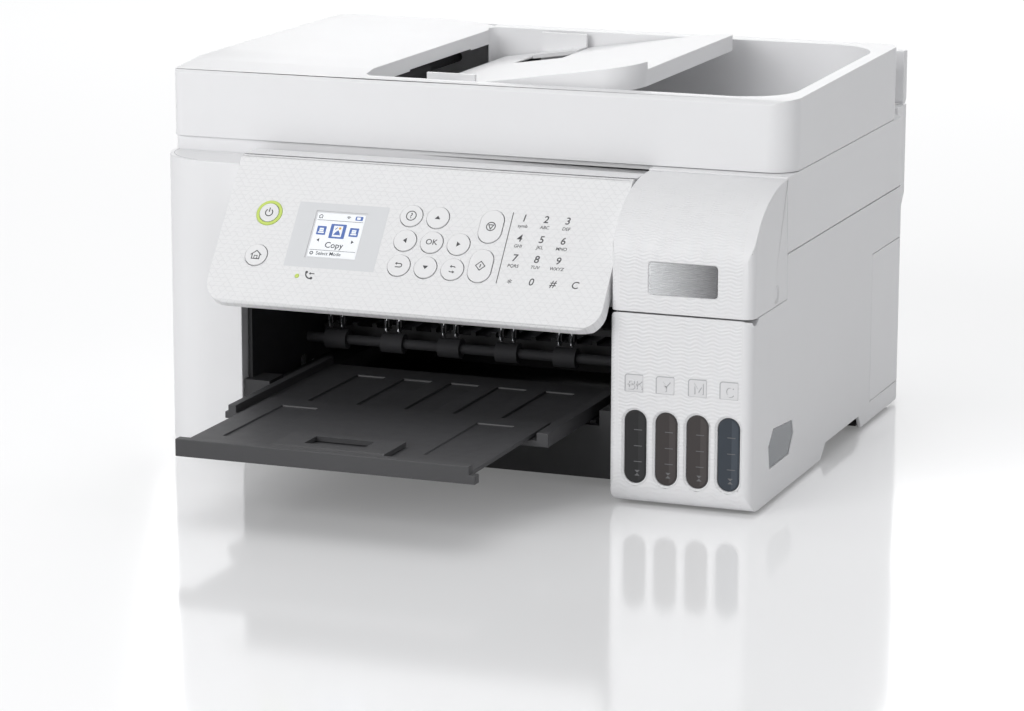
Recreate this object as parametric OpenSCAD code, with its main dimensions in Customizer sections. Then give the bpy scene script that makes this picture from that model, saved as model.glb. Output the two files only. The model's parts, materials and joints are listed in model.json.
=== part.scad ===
// Ink-tank multifunction printer: body, scanner unit, document feeder, control panel and paper trays.
// Distances in y start at the face of the ink tanks, which stand furthest forward on the body.
// The machine rests on z = 0, and every module moves its work to the middle of the footprint.

/* [Body] */
// Overall width of the machine
body_w = 383.5; // [378:0.5:384]
// Distance from the middle of the paper path to the right side
right_face = 187.5; // [186:0.5:189]
// Back face of the lower body
body_back = 327; // [325:1:328]
// Thickness of the moulded covers
wall = 2.5; // [2:0.1:3]
// Height of the bottom edge of the covers above the table
skirt_z = 2; // [1.5:0.1:2.5]
// Height of the joint between the lower body and the scanner unit
seam_z = 138.4; // [136:0.2:140]
// Front face of the left column
column_front = 38; // [37:0.5:40]
// Top of the left column
column_top = 174; // [172:0.5:175]
// Radius of the column's outer corner
column_r = 37; // [30:1:40]

/* [Ink tanks] */
// Left side of the tank block
tank_left = 105; // [105:0.1:106]
// Height of the joint under the tank lid
lid_seam_z = 112.4; // [111:0.2:114]
// Distance between neighbouring ink windows
window_pitch = 18.13; // [17.8:0.01:18.4]
// Width of an ink window
window_w = 13; // [12:0.5:14]
// Height of an ink window
window_h = 42; // [38:1:46]

/* [Control panel] */
// Length of the panel's face, from its hinge edge down
panel_len = 95; // [92:0.5:98]
// Angle between the panel's face and the vertical as it stands
panel_tilt = 37.6; // [30:0.2:42]
// Travel of a key
key_travel = 1.2; // [0.8:0.1:1.5]

/* [Scanner and feeder] */
// Top of the scanner unit
scanner_top = 182.2; // [182:0.1:182.4]
// Crease along the top of the feeder's front face
feeder_crease = 220.5; // [220:0.1:221]
// Back face of the document feeder
feeder_back = 308; // [307:0.5:309]

/* [Paper trays] */
// Front of the output tray, pulled out
tray_front = -120; // [-122:1:-118]
// Width of the output tray's front bar
bar_w = 173; // [165:1:175]
// Back face of the folded paper support
support_back = 345; // [345:0.5:348]
// Height of the folded paper support
support_top = 218; // [212:1:220]

/* [Hidden] */
$fn = 64;

left_face = right_face - body_w;
left_inner = left_face + wall;
right_inner = right_face - wall;
gap = 0.4;              // visible joint between two covers
fit = 0.05;             // radial clearance of a pin in its bore
eps = 0.01;
mid_x = (left_face + right_face) / 2;
mid_y = (tray_front + support_back) / 2;
foot_r = 14;            // rounding along the foot of the front
body_r = 20;            // rear corners in plan

// Colours of the mouldings
shell_white = [0.93, 0.93, 0.94];
inside_black = [0.07, 0.07, 0.08];
tray_grey = [0.24, 0.24, 0.25];
key_grey = [0.9, 0.9, 0.91];
steel = [0.68, 0.7, 0.72];

// Moves a piece from its working place to the middle of the footprint
module centred() translate([-mid_x, -mid_y, 0]) children();

// A plane outline pushed along x: its first number is y and its second is z
module along_x(x0, x1) translate([x0, 0, 0]) rotate([90, 0, 90]) linear_extrude(x1 - x0) children();

// A plane outline pushed along y: its first number is x and its second is z
module along_y(y0, y1) translate([0, y1, 0]) rotate([90, 0, 0]) linear_extrude(y1 - y0) children();

// A plane outline pushed up from one height to another
module upright(z0, z1) translate([0, 0, z0]) linear_extrude(z1 - z0) children();

// A plain block between two corners
module block(x0, x1, y0, y1, z0, z1) translate([x0, y0, z0]) cube([x1 - x0, y1 - y0, z1 - z0]);

module rod_x(x0, x1, y, z, r) translate([x0, y, z]) rotate([0, 90, 0]) cylinder(r = r, h = x1 - x0);
module rod_y(x, y0, y1, z, r) translate([x, y0, z]) rotate([-90, 0, 0]) cylinder(r = r, h = y1 - y0);
module rod_z(x, y, z0, z1, r) translate([x, y, z0]) cylinder(r = r, h = z1 - z0);

// The sharp piece that a rounded corner takes off a rectangle
module corner_cut(x, y, r, sx, sy) difference() {
    translate([x + (sx > 0 ? -1 : -r), y + (sy > 0 ? -1 : -r)]) square(r + 1);
    translate([x + sx * r, y + sy * r]) circle(r);
}

// A rectangle with its own radius at each corner: low-low, high-low, high-high, low-high
module plan(x0, x1, y0, y1, ll = 0, hl = 0, hh = 0, lh = 0) difference() {
    translate([x0, y0]) square([x1 - x0, y1 - y0]);
    if (ll > 0) corner_cut(x0, y0, ll, 1, 1);
    if (hl > 0) corner_cut(x1, y0, hl, -1, 1);
    if (hh > 0) corner_cut(x1, y1, hh, -1, -1);
    if (lh > 0) corner_cut(x0, y1, lh, 1, -1);
}

// A slot with round ends, long in its second direction
module stadium(w, h) {
    square([w, h - w], center = true);
    for (s = [-1, 1]) translate([0, s * (h - w) / 2]) circle(d = w);
}

// ---------------------------------------------------------------- lower body covers
lid_back_low = 64.9;    // back edge of the tank lid, below the scanner unit
front_seat_y = 73;      // back of the left column's ledge
hinge_y = 314;          // scanner unit's hinge
hinge_z = 176;
hinge_pin_r = 2.5;
post_x = 150;           // middle of each hinge post
scan_sweep = 240.6;     // the scanner's front, seen from its hinge
block_sweep = 251.4;    // the same over the tank block
opening_left = -137.5;  // sides of the paper opening
body_top = seam_z - gap;
wall_top = body_top - 0.4;
panel_y = 39.9;         // hinge edge of the panel's face
panel_z = 179.2;
panel_t = 9;            // thickness of the panel
axis_y = panel_y + panel_t / 2 * (cos(panel_tilt) - sin(panel_tilt));
axis_z = panel_z - panel_t / 2 * (cos(panel_tilt) + sin(panel_tilt));
lid_pin_y = 6;          // tank lid's hinge
lid_pin_z = lid_seam_z + 3.6;

// Side view of the lower body, with its rounded lower corners
module body_side(y0, y1, top) along_x(left_face - 1, right_face + 1)
    plan(y0, y1, skirt_z, top, ll = foot_r, hl = 18);

// Room inside a cover: it keeps a lip under the rounded front
module cover_room(y0) {
    along_x(left_face, right_face)
        plan(y0 + wall, body_back, skirt_z + wall, 220, ll = foot_r - wall);
    block(left_face, right_face, y0 + 13, body_back, 0, 40);
}

module base_pan() color(inside_black) centred() difference() {
    union() {
        upright(skirt_z + 0.5, skirt_z + 3) intersection() {
            plan(left_inner + 1, right_inner - 1, column_front + wall + 1, 306, ll = column_r - wall - 1);
            translate([left_face, column_front + 13.5]) square([body_w, 300]);
        }
        upright(skirt_z + 0.5, skirt_z + 3) plan(tank_left + 4, right_inner - 1, 16, 60);
        for (x = [-160, 146], y = [60, 282]) block(x - 8, x + 8, y, y + 16, skirt_z + 0.5, skirt_z + 8);
    }
    block(160, right_face, 140, 228, 0, 12);
}

module rubber_feet() color([0.12, 0.12, 0.12]) centred() for (x = [-168, 172], y = [62, 280])
    rod_z(x, y, 0, skirt_z + 0.5, 7);

// Left column with its ledge, and the left side as far as the rear corner
module left_cover() color(shell_white) centred() intersection() {
    difference() {
        union() {
            upright(skirt_z, column_top)
                plan(left_face, opening_left, column_front, front_seat_y, ll = column_r);
            upright(skirt_z, body_top)
                plan(left_face, left_face + body_r + 4, column_front + column_r - 3, body_back, lh = body_r);
        }
        intersection() {
            upright(0, column_top - wall) plan(left_inner, opening_left - wall, column_front + wall,
                front_seat_y - wall, ll = column_r - wall);
            cover_room(column_front);
        }
        block(left_inner + 16, opening_left + 1, column_front + 13, front_seat_y + 1, 0, skirt_z + 3.2);
        upright(0, body_top + 1)
            plan(left_inner, 0, front_seat_y - wall, body_back - wall, lh = body_r - wall);
        block(left_face + body_r, 0, front_seat_y, body_back + 1, 0, column_top);
        block(left_inner, opening_left - wall, front_seat_y - wall - 1, front_seat_y + 1, 0, 120);
    }
    body_side(column_front - 1, body_back, column_top);
}

// The finger recess along the foot of the right side
module finger_recess() along_x(right_inner - 22, right_face + 1)
    polygon([[141, -1], [141, 2.5], [150, 10], [222, 10], [226, 5], [229, -1]]);

module side_window_shape(g) polygon([
    [34 - g, 34 + g / 2], [42.7, 42.4 + g], [80 + g, 39.4 + g],
    [83 + g, 31.5], [74.5, 20.8 - g], [36.5 - g, 20.6 - g]]);

module window_places() for (i = [0:3]) translate([tank_left + 15 + i * window_pitch, 14.8 + window_h / 2])
    children();

// Front of the tank block, and the right side as far as the rear corner
module tank_cover() color(shell_white) centred() difference() {
    intersection() {
        difference() {
            union() {
                upright(skirt_z, lid_seam_z - 0.3) plan(tank_left, right_face, 0, 62, ll = 3, hl = 6);
                upright(skirt_z, body_top)
                    plan(right_face - body_r - 4, right_face, 61, body_back, hh = body_r);
            }
            intersection() {
                upright(0, lid_seam_z + 1) plan(tank_left + wall, right_inner, wall, 63, ll = 1, hl = 3.5);
                cover_room(0);
            }
            block(tank_left, right_face + 1, 50, lid_back_low + gap, lid_seam_z - 0.3, body_top + 1);
            upright(0, body_top + 1) plan(left_face, right_inner, 60, body_back - wall, hh = body_r - wall);
            block(tank_left - 1, tank_left + wall + 1, column_front, 63, 0, lid_seam_z + 1);
            block(right_face - body_r - 5, right_face - body_r, 59, body_back + 1, 0, body_top + 1);
        }
        body_side(0, body_back, body_top);
    }
    along_y(-1, wall + 1) window_places() stadium(window_w, window_h);
    along_y(-1, 0.8) window_places() stadium(window_w + 2, window_h + 2);
    along_x(right_inner - 1, right_face + 1) side_window_shape(0);
    finger_recess();
    block(right_face - body_r - 6, right_face + 1, 246, body_back + 1, 14, 106);
    rod_x(tank_left - 1, right_face + 1, lid_pin_y, lid_pin_z, 7.2);
}

module rear_side_cover() color(shell_white) centred() intersection() {
    difference() {
        upright(14.4, 105.6) plan(right_face - body_r, right_face, 246.4, body_back, hh = body_r);
        upright(0, 120) plan(0, right_inner, 200, body_back - wall, hh = body_r - wall);
    }
    body_side(0, body_back, body_top);
}

module side_window() color([0.3, 0.34, 0.38]) centred() difference() {
    along_x(right_inner - 1.5, right_face - 0.6) side_window_shape(-0.2);
    block(right_inner - 2, right_inner - 1, 30, 90, 0, 18);
}

// Back wall, with the hopper of the rear paper feed standing out behind it
SCREWS = [-160, -20, 40, 160];
screw_z = 90;
screw_r = 2.8;
hopper_w = 180;
hopper_top = 184;
slot_x = [-132, 86];    // sides of the rear paper slot
module rear_cover() color(shell_white) centred() difference() {
    union() {
        along_x(left_face + body_r + gap, right_face - body_r - gap) difference() {
            plan(308.5, body_back, skirt_z, body_top, hl = 18);
            plan(308, body_back - wall, skirt_z + wall, body_top + 1, hl = 18 - wall);
        }
        along_x(-hopper_w, hopper_w) polygon([
            [body_back - 2, body_top - 32], [body_back, body_top - 32], [support_back, body_top - 10],
            [support_back, hopper_top], [body_back - 2, hopper_top]]);
    }
    for (x = [-hopper_w - 1, right_face - body_r - gap])
        block(x, x < 0 ? left_face + body_r + gap : hopper_w + 1, 320, body_back + 0.1, 0, body_top + 0.3);
    for (x = SCREWS) rod_y(x, body_back - 4, body_back + 1, screw_z, screw_r + fit);
    along_x(-hopper_w + wall, hopper_w - wall) polygon([
        [body_back, body_top - 28], [support_back - wall, body_top - 7],
        [support_back - wall, hopper_top - wall], [body_back, hopper_top - wall]]);
    block(slot_x[0], slot_x[1], body_back, 337.6, hopper_top - wall - 1, hopper_top + 1);
    block(slot_x[0], slot_x[1], body_back - 3, body_back + 1, body_top - 21, 150);
    block(-132, -112, body_back - 4, body_back + 1, 22, 46);
    for (x = [-100, -76]) block(x, x + 16, body_back - 4, body_back + 1, 40, 54);
    for (x = [-40, 60], i = [0:7])
        block(x + i * 7, x + i * 7 + 3.4, body_back - 4, body_back + 1, 30, 70);
}

// Ledge along the front, behind the panel's hinge
module top_strip() color(shell_white) centred() difference() {
    union() {
        block(opening_left + gap, tank_left - gap, panel_y, 60, 177, 179.6);
        block(opening_left + gap, tank_left - gap, 47, 60, 150, 178);
    }
    rod_x(left_face, right_face, axis_y, axis_z, panel_t * 0.768);
    block(-120, 90, 49.5, 57.5, 140, 177);
    for (x = [opening_left, tank_left - 3]) rod_x(x - 1, x + 4, axis_y, axis_z, 7.2);
}

// ---------------------------------------------------------------- inside the lower body
paper_x = [-128, 82];   // sides of an A4 sheet in the machine
feed_y = 204;
exit_y = 128;
roller_z = 53.6;
roller_r = 6;

// Dark chassis: the paper opening's walls, the sill under the tray, and the scanner's hinge posts
module inner_frame() color(inside_black) centred() difference() {
    union() {
        block(opening_left + gap, opening_left + 3, 46, 72.5, 5.2, 149.6);
        block(opening_left + gap, opening_left + 3, 72, 308, 5.2, wall_top);
        block(tank_left - 3, tank_left - gap, 46, 72.5, 5.2, 149.6);
        block(tank_left - 3, tank_left - gap, 42, 46.5, 5.2, 80);
        block(tank_left - 3, tank_left - gap, 72, 140, 5.2, wall_top);
        block(tank_left - 3, tank_left - gap, 244, 308, 5.2, wall_top);
        block(94, 98, 130, feed_y + 7, 30, 37.6);
        block(94, 98, feed_y - 7, feed_y + 7, 30, 59.6);
        block(opening_left + 3, tank_left - 3, 40, 45, 5.2, 36);
        block(opening_left + gap, -121, 40, 60, 5.2, 45);
        block(85, tank_left - gap, 40, 60, 5.2, 45);
        for (x = [-121, 75]) block(x, x + 6, 45, 196, 30, 37.6);
        block(opening_left + 3, -120.5, 60, 196, 30, 37.6);
        block(80.5, tank_left - 3, 60, 140, 30, 37.6);
        block(opening_left + 1, tank_left - 1, 300, 308, 5.2, 30);
        for (s = [-1, 1]) scanner_post(s * post_x);
        for (e = [[108.3, 3], [182.8, 2]]) lid_ear(e[0], e[1]);
    }
    for (s = [-1, 1]) rod_x(s * post_x - 9, s * post_x + 9, hinge_y, hinge_z, hinge_pin_r + fit);
    rod_x(107, 186, lid_pin_y, lid_pin_z, 1.5 + fit);
    for (y = [feed_y, exit_y]) rod_x(opening_left - 1, right_face, y, roller_z, 3 + fit);
}

module scanner_post(x) {
    rod_x(x - 4, x + 4, hinge_y, hinge_z, 4.6);
    block(x - 4, x + 4, 307, 321, 22, hinge_z);
    block(min(x - 4, sign(x) * 136), max(x + 4, sign(x) * 136), 300, 308, 5.2, 30);
    if (x > 0) block(tank_left - 3, x, 300, 308, 5.2, 30);
}

// Ear that carries one end of the tank lid's pin, reached from behind the lid
module lid_ear(x, t) {
    rod_x(x, x + t, lid_pin_y, lid_pin_z, 3);
    block(x, x + t, lid_pin_y, 17, lid_pin_z - 3, lid_pin_z + 3);
    block(x, x + t, 13, 17, 5.2, lid_pin_z);
}

module platen() color(inside_black) centred() difference() {
    union() {
        block(opening_left + 3.2, 92, 151, 190, 50, 57);
        for (i = [0:16]) block(-128 + i * 13, -125 + i * 13, 151, 190, 57, 59.4);
    }
    block(-126, 84, 160, 182, 52, 56);
}

module carriage_rail() color(steel) centred() {
    block(opening_left + 3.2, 183, 240, 242, 62, 126);
    block(opening_left + 3.2, 183, 232, 240.5, 124.4, 126);
}

// Toothed belt on two pulleys, with the carriage motor and the paper motor
module carriage_drive() color([0.16, 0.16, 0.17]) centred() {
    difference() {
        along_y(236, 239.6) belt_outline(7);
        along_y(235, 241) belt_outline(5.6);
    }
    for (x = PULLEYS) rod_y(x, 235.6, 239.8, 112, 5.5);
    rod_y(PULLEYS[0], 242.2, 270, 112, 14);
    rod_x(-134.2, -112, 272, 24, 15);
}
PULLEYS = [-118, 174];
module belt_outline(r) {
    translate([PULLEYS[0], 112 - r]) square([PULLEYS[1] - PULLEYS[0], 2 * r]);
    for (x = PULLEYS) translate([x, 112]) circle(r);
}

// Waste ink box with the capping pad, under the place where the print head parks
module maintenance_box() color([0.8, 0.8, 0.82]) centred() {
    difference() {
        block(110, 170, 150, 195, 5.2, 54);
        block(113, 167, 153, 192, 44, 55);
    }
    block(118, 162, 156, 189, 43.9, 59.6);
}

// Ink tanks in window order; each has a boss behind its window and a filler neck on top
tank_z = [13.4, 88];
module ink_tanks() color([0.3, 0.31, 0.33]) centred() difference() {
    union() {
        for (i = [0:3]) {
            x = tank_x(i);
            block(x - 8.2, x + 8.2, 3, 96, tank_z[0], tank_z[1]);
            rod_z(x, neck_y, tank_z[1] - 1, 100, 6);
            for (s = [-1, 1]) block(x + s * 5.3 - 1, x + s * 5.3 + 1, cap_pin_y - 2.5, cap_pin_y + 2.5,
                tank_z[1] - 1, cap_pin_z + 2);
            rod_x(x - 5.5, x + 5.5, cap_pin_y, cap_pin_z, 1.2);
        }
        along_y(1.6, 3.2) window_places() stadium(window_w - 0.6, window_h - 0.6);
    }
    for (i = [0:3]) rod_z(tank_x(i), neck_y, 60, 101, 4);
}
neck_y = 28;
function tank_x(i) = tank_left + 15 + i * window_pitch;

// Hinged stopper on a filler neck
cap_pin_y = 46;
cap_pin_z = 103;
module ink_cap(i, tint) color(tint) centred() difference() {
    union() {
        rod_z(tank_x(i), neck_y, 100.2, 108, 7.2);
        rod_z(tank_x(i), neck_y, 98.6, 101, 3.3);
        block(tank_x(i) - 4, tank_x(i) + 4, neck_y, cap_pin_y, 102.5, 105.5);
        rod_x(tank_x(i) - 4, tank_x(i) + 4, cap_pin_y, cap_pin_z, 2.5);
    }
    rod_x(tank_x(i) - 5, tank_x(i) + 5, cap_pin_y, cap_pin_z, 1.2 + fit);
}
module cap_black() ink_cap(0, [0.1, 0.1, 0.1]);
module cap_yellow() ink_cap(1, [0.9, 0.8, 0.1]);
module cap_magenta() ink_cap(2, [0.8, 0.1, 0.5]);
module cap_cyan() ink_cap(3, [0.1, 0.6, 0.8]);

// Circuit board on the left, with the sockets that reach the back
module main_board() color([0.1, 0.35, 0.2]) centred() difference() {
    union() {
        block(-145, -143.4, 110, 290, 20, 120);
        block(-143.4, -139, 130, 170, 60, 90);
        for (x = [-99.6, -75.6]) block(x, x + 15, 309, body_back - 0.6, 41, 53);
        block(-108, -56, 308.6, 310, 36, 58);
    }
    for (x = [-99.6, -75.6]) block(x + 1.6, x + 13.4, 312, body_back, 43, 51);
}

// Mains supply box with its inlet socket at the back
module power_supply() color([0.15, 0.15, 0.16]) centred() difference() {
    union() {
        block(-181, -156, 180, 292, 10.2, 62);
        block(-131, -113, 309, body_back - 0.6, 23, 45);
    }
    for (x = [-126, -118]) rod_y(x, 314, body_back, 34, 4.2);
    block(-126, -118, 314, body_back, 29.8, 38.2);
}

// Screws of the rear cover
module cover_screws() color(steel) centred() for (x = SCREWS) difference() {
    rod_y(x, body_back - 9, body_back + 1.2, screw_z, screw_r);
    rod_y(x, body_back + 0.6, body_back + 2, screw_z, 1.2);
}

// Guide that leads sheets from the rear slot down to the feed roller
module sheet_guide() color(inside_black) centred() along_x(paper_x[0] - 3, paper_x[1] + 3) polygon([
    [337.8, hopper_top - wall - 0.4], [341, hopper_top - wall - 0.4], [334, 140], [300, 66], [276, 44],
    [214, 44], [214, 47], [274, 47], [297, 68], [330, 140]]);

module shaft_roller(y) {
    rod_x(-139, y == feed_y ? 100 : 104, y, roller_z, 3);
    if (y == feed_y) rod_x(-133, 90, y, roller_z, roller_r);
    else for (i = [0:5]) rod_x(-122 + i * 37, -108 + i * 37, y, roller_z, roller_r);
}
module feed_roller() color([0.5, 0.5, 0.52]) centred() shaft_roller(feed_y);
module exit_roller() color([0.2, 0.2, 0.21]) centred() shaft_roller(exit_y);

// Carriage with the print head under it, parked on the right
module print_carriage() color([0.18, 0.18, 0.2]) centred() {
    difference() {
        union() {
            block(102, 176, 152, 229, 64, 116);
            block(112, 166, 229, 234, 70, 100);
            block(120, 158, 160, 188, 60.4, 64.5);
        }
        block(106, 172, 158, 222, 107, 117);
    }
    for (i = [0:3]) block(108 + i * 16, 122 + i * 16, 160, 220, 106.9, 112);
}

// ---------------------------------------------------------------- tank lid
lid_back = 62.2;
module lid_side(t) intersection() {
    polygon(concat(
        [[t, lid_seam_z + 0.2], [t, 140]],
        [for (a = [3:3:90]) [lid_back - (lid_back - t) * cos(a), 140 + (41 - t) * sin(a)]],
        [[75, 181 - t], [75, seam_z + 0.2], [lid_back_low, seam_z + 0.2], [lid_back_low, lid_seam_z + 0.2]]));
    translate([hinge_y, hinge_z]) difference() {
        translate([-hinge_y, -hinge_z]) square([80, 200]);
        circle(block_sweep + gap, $fn = 256);
    }
}
module tank_lid() color(shell_white) centred() {
    lid_shell();
    rod_x(tank_left + wall, 111.4, lid_pin_y, lid_pin_z, 1.5);
    rod_x(181.8, right_inner + 0.5, lid_pin_y, lid_pin_z, 1.5);
}
module lid_shell() difference() {
    intersection() {
        along_x(tank_left + gap, right_face) lid_side(0);
        upright(0, 200) plan(tank_left + gap, right_face, 0, 80, ll = 3, hl = 6);
    }
    along_x(tank_left + gap + wall, right_inner) lid_side(wall);
    block(tank_left + wall, right_inner, wall, 80, 100, lid_seam_z + 1);
    block(tank_left + wall, right_inner, 50, 80, 110, 178);
    along_y(-1, 0.9) plan(127, 167, 123, 141.5, ll = 2, hl = 2, hh = 2, lh = 2);
    rod_x(right_face - 1, right_face + 1, 44, 119, 5);
}
module badge_plate() color([0.6, 0.6, 0.62]) centred()
    along_y(0.3, 0.9) plan(127.3, 166.7, 123.3, 141.2, ll = 1.8, hl = 1.8, hh = 1.8, lh = 1.8);

// ---------------------------------------------------------------- scanner unit
glass_x = [-130, 167];
glass_y = [80, 296];
module scanner_outline(z0, z1, d) upright(z0, z1) union() {
    plan(left_face + d, right_face - d, front_seat_y + d, 322 - d, ll = 5 - d, lh = 19 - d, hh = 19 - d);
    translate([tank_left + 0.5 + d, 55 + d]) square([right_face - tank_left - 0.5 - 2 * d, 40]);
}
module scanner_housing() color(shell_white) centred() {
    scanner_shell();
    for (s = [-1, 1]) feeder_tower(s * tower_x);
}

// Post that carries the feeder's hinge pin
tower_x = 140;
feeder_pin_y = 300;
feeder_pin_z = 205;
module feeder_tower(x) difference() {
    union() {
        block(x - 6, x + 6, glass_y[1] + 3.2, 306, 180, feeder_pin_z);
        rod_x(x - 6, x + 6, feeder_pin_y, feeder_pin_z, 6);
    }
    rod_x(x - 7, x + 7, feeder_pin_y, feeder_pin_z, 2.5 + fit);
}

module scanner_shell() difference() {
    intersection() {
        difference() {
            scanner_outline(seam_z + 0.2, scanner_top, 0);
            difference() {
                intersection() {
                    scanner_outline(seam_z + 3, scanner_top - wall, wall);
                    sweep_limit(wall);
                }
                for (s = [-1, 1]) block(s * post_x - 10, s * post_x + 10, 300, 322, seam_z, 182);
            }
        }
        sweep_limit(0);
    }
    block(glass_x[0], glass_x[1], glass_y[0], glass_y[1], scanner_top - wall - 1, scanner_top + 1);
    block(glass_x[0] - 3, glass_x[1] + 3, glass_y[0] - 3, glass_y[1] + 3, 179.3, scanner_top + 1);
    block(-152, -138, glass_y[0], glass_y[1], scanner_top - wall - 1, scanner_top + 1);
    for (s = [-1, 1]) post_pocket(s * post_x);
    along_x(left_face - 1, right_face + 1) polygon([[317, 138], [323, 144], [323, 138]]);
    block(left_face - 1, right_face + 1, 291, 323, 181.2, 183);
}

// The post and its swing: the pocket is open below and behind, and the pin crosses it
module post_pocket(x) difference() {
    block(x - 5.5, x + 5.5, 303, 323, seam_z - 1, 181);
    rod_x(x - 7, x + 7, hinge_y, hinge_z, hinge_pin_r);
}

// What stays clear of the column, the ledge and the tank lid as the unit swings up
module sweep_limit(d) {
    intersection() {
        rod_x(left_face - 1, right_face + 1, hinge_y, hinge_z, scan_sweep - d, $fn = 256);
        block(left_face - 1, right_face + 1, 0, 330, 130, 190);
    }
    intersection() {
        rod_x(tank_left + 0.5 + d, right_face + 1, hinge_y, hinge_z, block_sweep - d, $fn = 256);
        block(tank_left + 0.5 + d, right_face + 1, 0, 330, 130, 190);
    }
}

module scanner_glass() color([0.55, 0.62, 0.62]) centred()
    block(glass_x[0] - 2.8, glass_x[1] + 2.8, glass_y[0] - 2.8, glass_y[1] + 2.8, 179.3, 181.9);

module sensor_rail() color(steel) centred() rod_x(left_inner, right_inner, 188, 152, 4);

module sensor_carriage() color(inside_black) centred() difference() {
    union() {
        block(-154, -136, 82, 290, 160, 178.4);
        block(-152, -138, 180, 196, 144, 161);
    }
    rod_x(-156, -130, 188, 152, 4 + fit);
}

// ---------------------------------------------------------------- document feeder
feeder_front = 70.5;
feeder_bottom = 182.6;
feeder_r = 6;           // left front corner in plan
lip_back = 72.4;        // back of the thin lip in front of the cover
cover_right = -76;      // right end of the feeder's cover
cover_front = 75.6;
cover_pin_x = left_face + 3;
cover_pin_z = 199.5;
tray_pin_x = -61;
tray_pin_z = 205;
pickup = [-104, 205];   // x and z of the pickup roller's shaft
delivery = [-84, 194];

// Side view of the feeder's outer shell
module feeder_side(d) polygon([
    [feeder_front + d, feeder_bottom], [feeder_front + d, feeder_crease],
    [feeder_front + 1.5, feeder_crease + 1.6], [feeder_front + 4.5, feeder_crease + 2.6],
    [80, 223.7], [288, 227], [298, 227.4], [302.5, 226.6], [306, 224.2],
    [feeder_back, 220], [feeder_back, feeder_bottom + 4.2], [feeder_back - 4.2, feeder_bottom]]);

module feeder_housing() color(shell_white) centred() {
    difference() {
        intersection() {
            along_x(left_face, right_face) feeder_side(0);
            upright(feeder_bottom, 240)
                plan(left_face, right_face, feeder_front, feeder_back,
                    ll = feeder_r, hl = 16, hh = 22, lh = 22);
        }
        // bay of the feed rollers, under the cover
        block(left_inner, cover_right, cover_front - 0.4, 298, 186, 240);
        block(left_face - 1, cover_right, cover_front - 0.4, 300.4, 215, 240);
        block(left_face - 1, left_inner + 1, cover_front - 0.4, 300.4, 196, 240);
        rod_y(cover_pin_x, cover_front - 0.4, 300.4, cover_pin_z, 3.3);
        block(left_face - 1, cover_right, lip_back, cover_front, feeder_crease, 240);
        rod_y(cover_pin_x, 72.5, 303, cover_pin_z, 1.5 + fit);
        // basin that catches the sheets
        upright(191, 240) plan(-76, 179, 79.5, 286.5, hl = 30, hh = 30, ll = 6, lh = 6);
        for (y = [74, 282]) rod_y(tray_pin_x, y, y + 9, tray_pin_z, 2 + fit);
        for (r = [pickup, delivery]) rod_y(r[0], 72.6, 302, r[1], 3 + fit);
        block(glass_x[0] - 2, glass_x[1] + 2, glass_y[0] - 1, glass_y[1] - 1, 180, 185);
        for (s = [-1, 1]) block(s * tower_x - 7.5, s * tower_x + 7.5, 291, feeder_back + 1, 180, 213.5);
        block(-60, 170, 90, 278, 185, 188.6);
    }
    for (s = [-1, 1]) rod_x(s * tower_x - 8, s * tower_x + 8, feeder_pin_y, feeder_pin_z, 2.5);
}

module document_mat() color([0.95, 0.95, 0.95]) centred()
    block(glass_x[0], glass_x[1], glass_y[0] + 1, glass_y[1] - 3, 182.25, 185);

// Crowned cover of the feed mechanism, with its own left side and hinge knuckle
module cover_top(d) polygon(concat(
    [[lip_back + gap + d, feeder_crease + gap], [lip_back + gap + d, 222.2]],
    [for (i = [1:8]) [72.5 + i * 10, 222.2 + (8.4 - d) * sin(i * 11.25)]],
    [[286, 230.6 - d], [292, 230 - d], [297, 227.4 - d], [300 - d, 223], [300 - d, feeder_crease + 0.5]]));
module feeder_cover() color(shell_white) centred() difference() {
    union() {
        difference() {
            intersection() {
                along_x(left_face, cover_right) cover_top(0);
                along_y(60, 310) polygon([[left_face, 200], [left_face, 221], [left_face + 4.5, 226.5],
                    [left_face + 11.5, 229], [left_face + 37, 231],
                    [-120, 231], [-90, 228.6], [cover_right, 225.6], [cover_right, 200]]);
                upright(200, 240) plan(left_face, cover_right, feeder_front, 300, ll = feeder_r, lh = 14);
            }
            block(left_inner, cover_right - 2, cover_front + 1, 297.5, 200, 222.6);
        }
        block(left_face, left_inner, cover_front, 300, cover_pin_z, 222);
        rod_y(cover_pin_x, cover_front, 300, cover_pin_z, 3);
        for (i = [0:11]) block(-98, cover_right - 1, 100 + i * 15, 102 + i * 15, 216.4, 223);
        block(cover_right - 2.5, cover_right, cover_front + 4, 292, 216.4, 223);
        rod_y(cover_pin_x, 73, 302.6, cover_pin_z, 1.5);
    }
    block(-98, cover_right + 1, 150, 250, 215, 217.4);
}

module roller_y(r, radius, y0, y1) {
    rod_y(r[0], 73, 301.6, r[1], 3);
    rod_y(r[0], y0, y1, r[1], radius);
}
module pickup_roller() color([0.25, 0.25, 0.26]) centred() roller_y(pickup, 9, 150, 230);
module delivery_roller() color([0.3, 0.3, 0.31]) centred() {
    roller_y(delivery, 5, 100, 120);
    for (y = [160, 210, 260]) rod_y(delivery[0], y, y + 20, delivery[1], 5);
}

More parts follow.
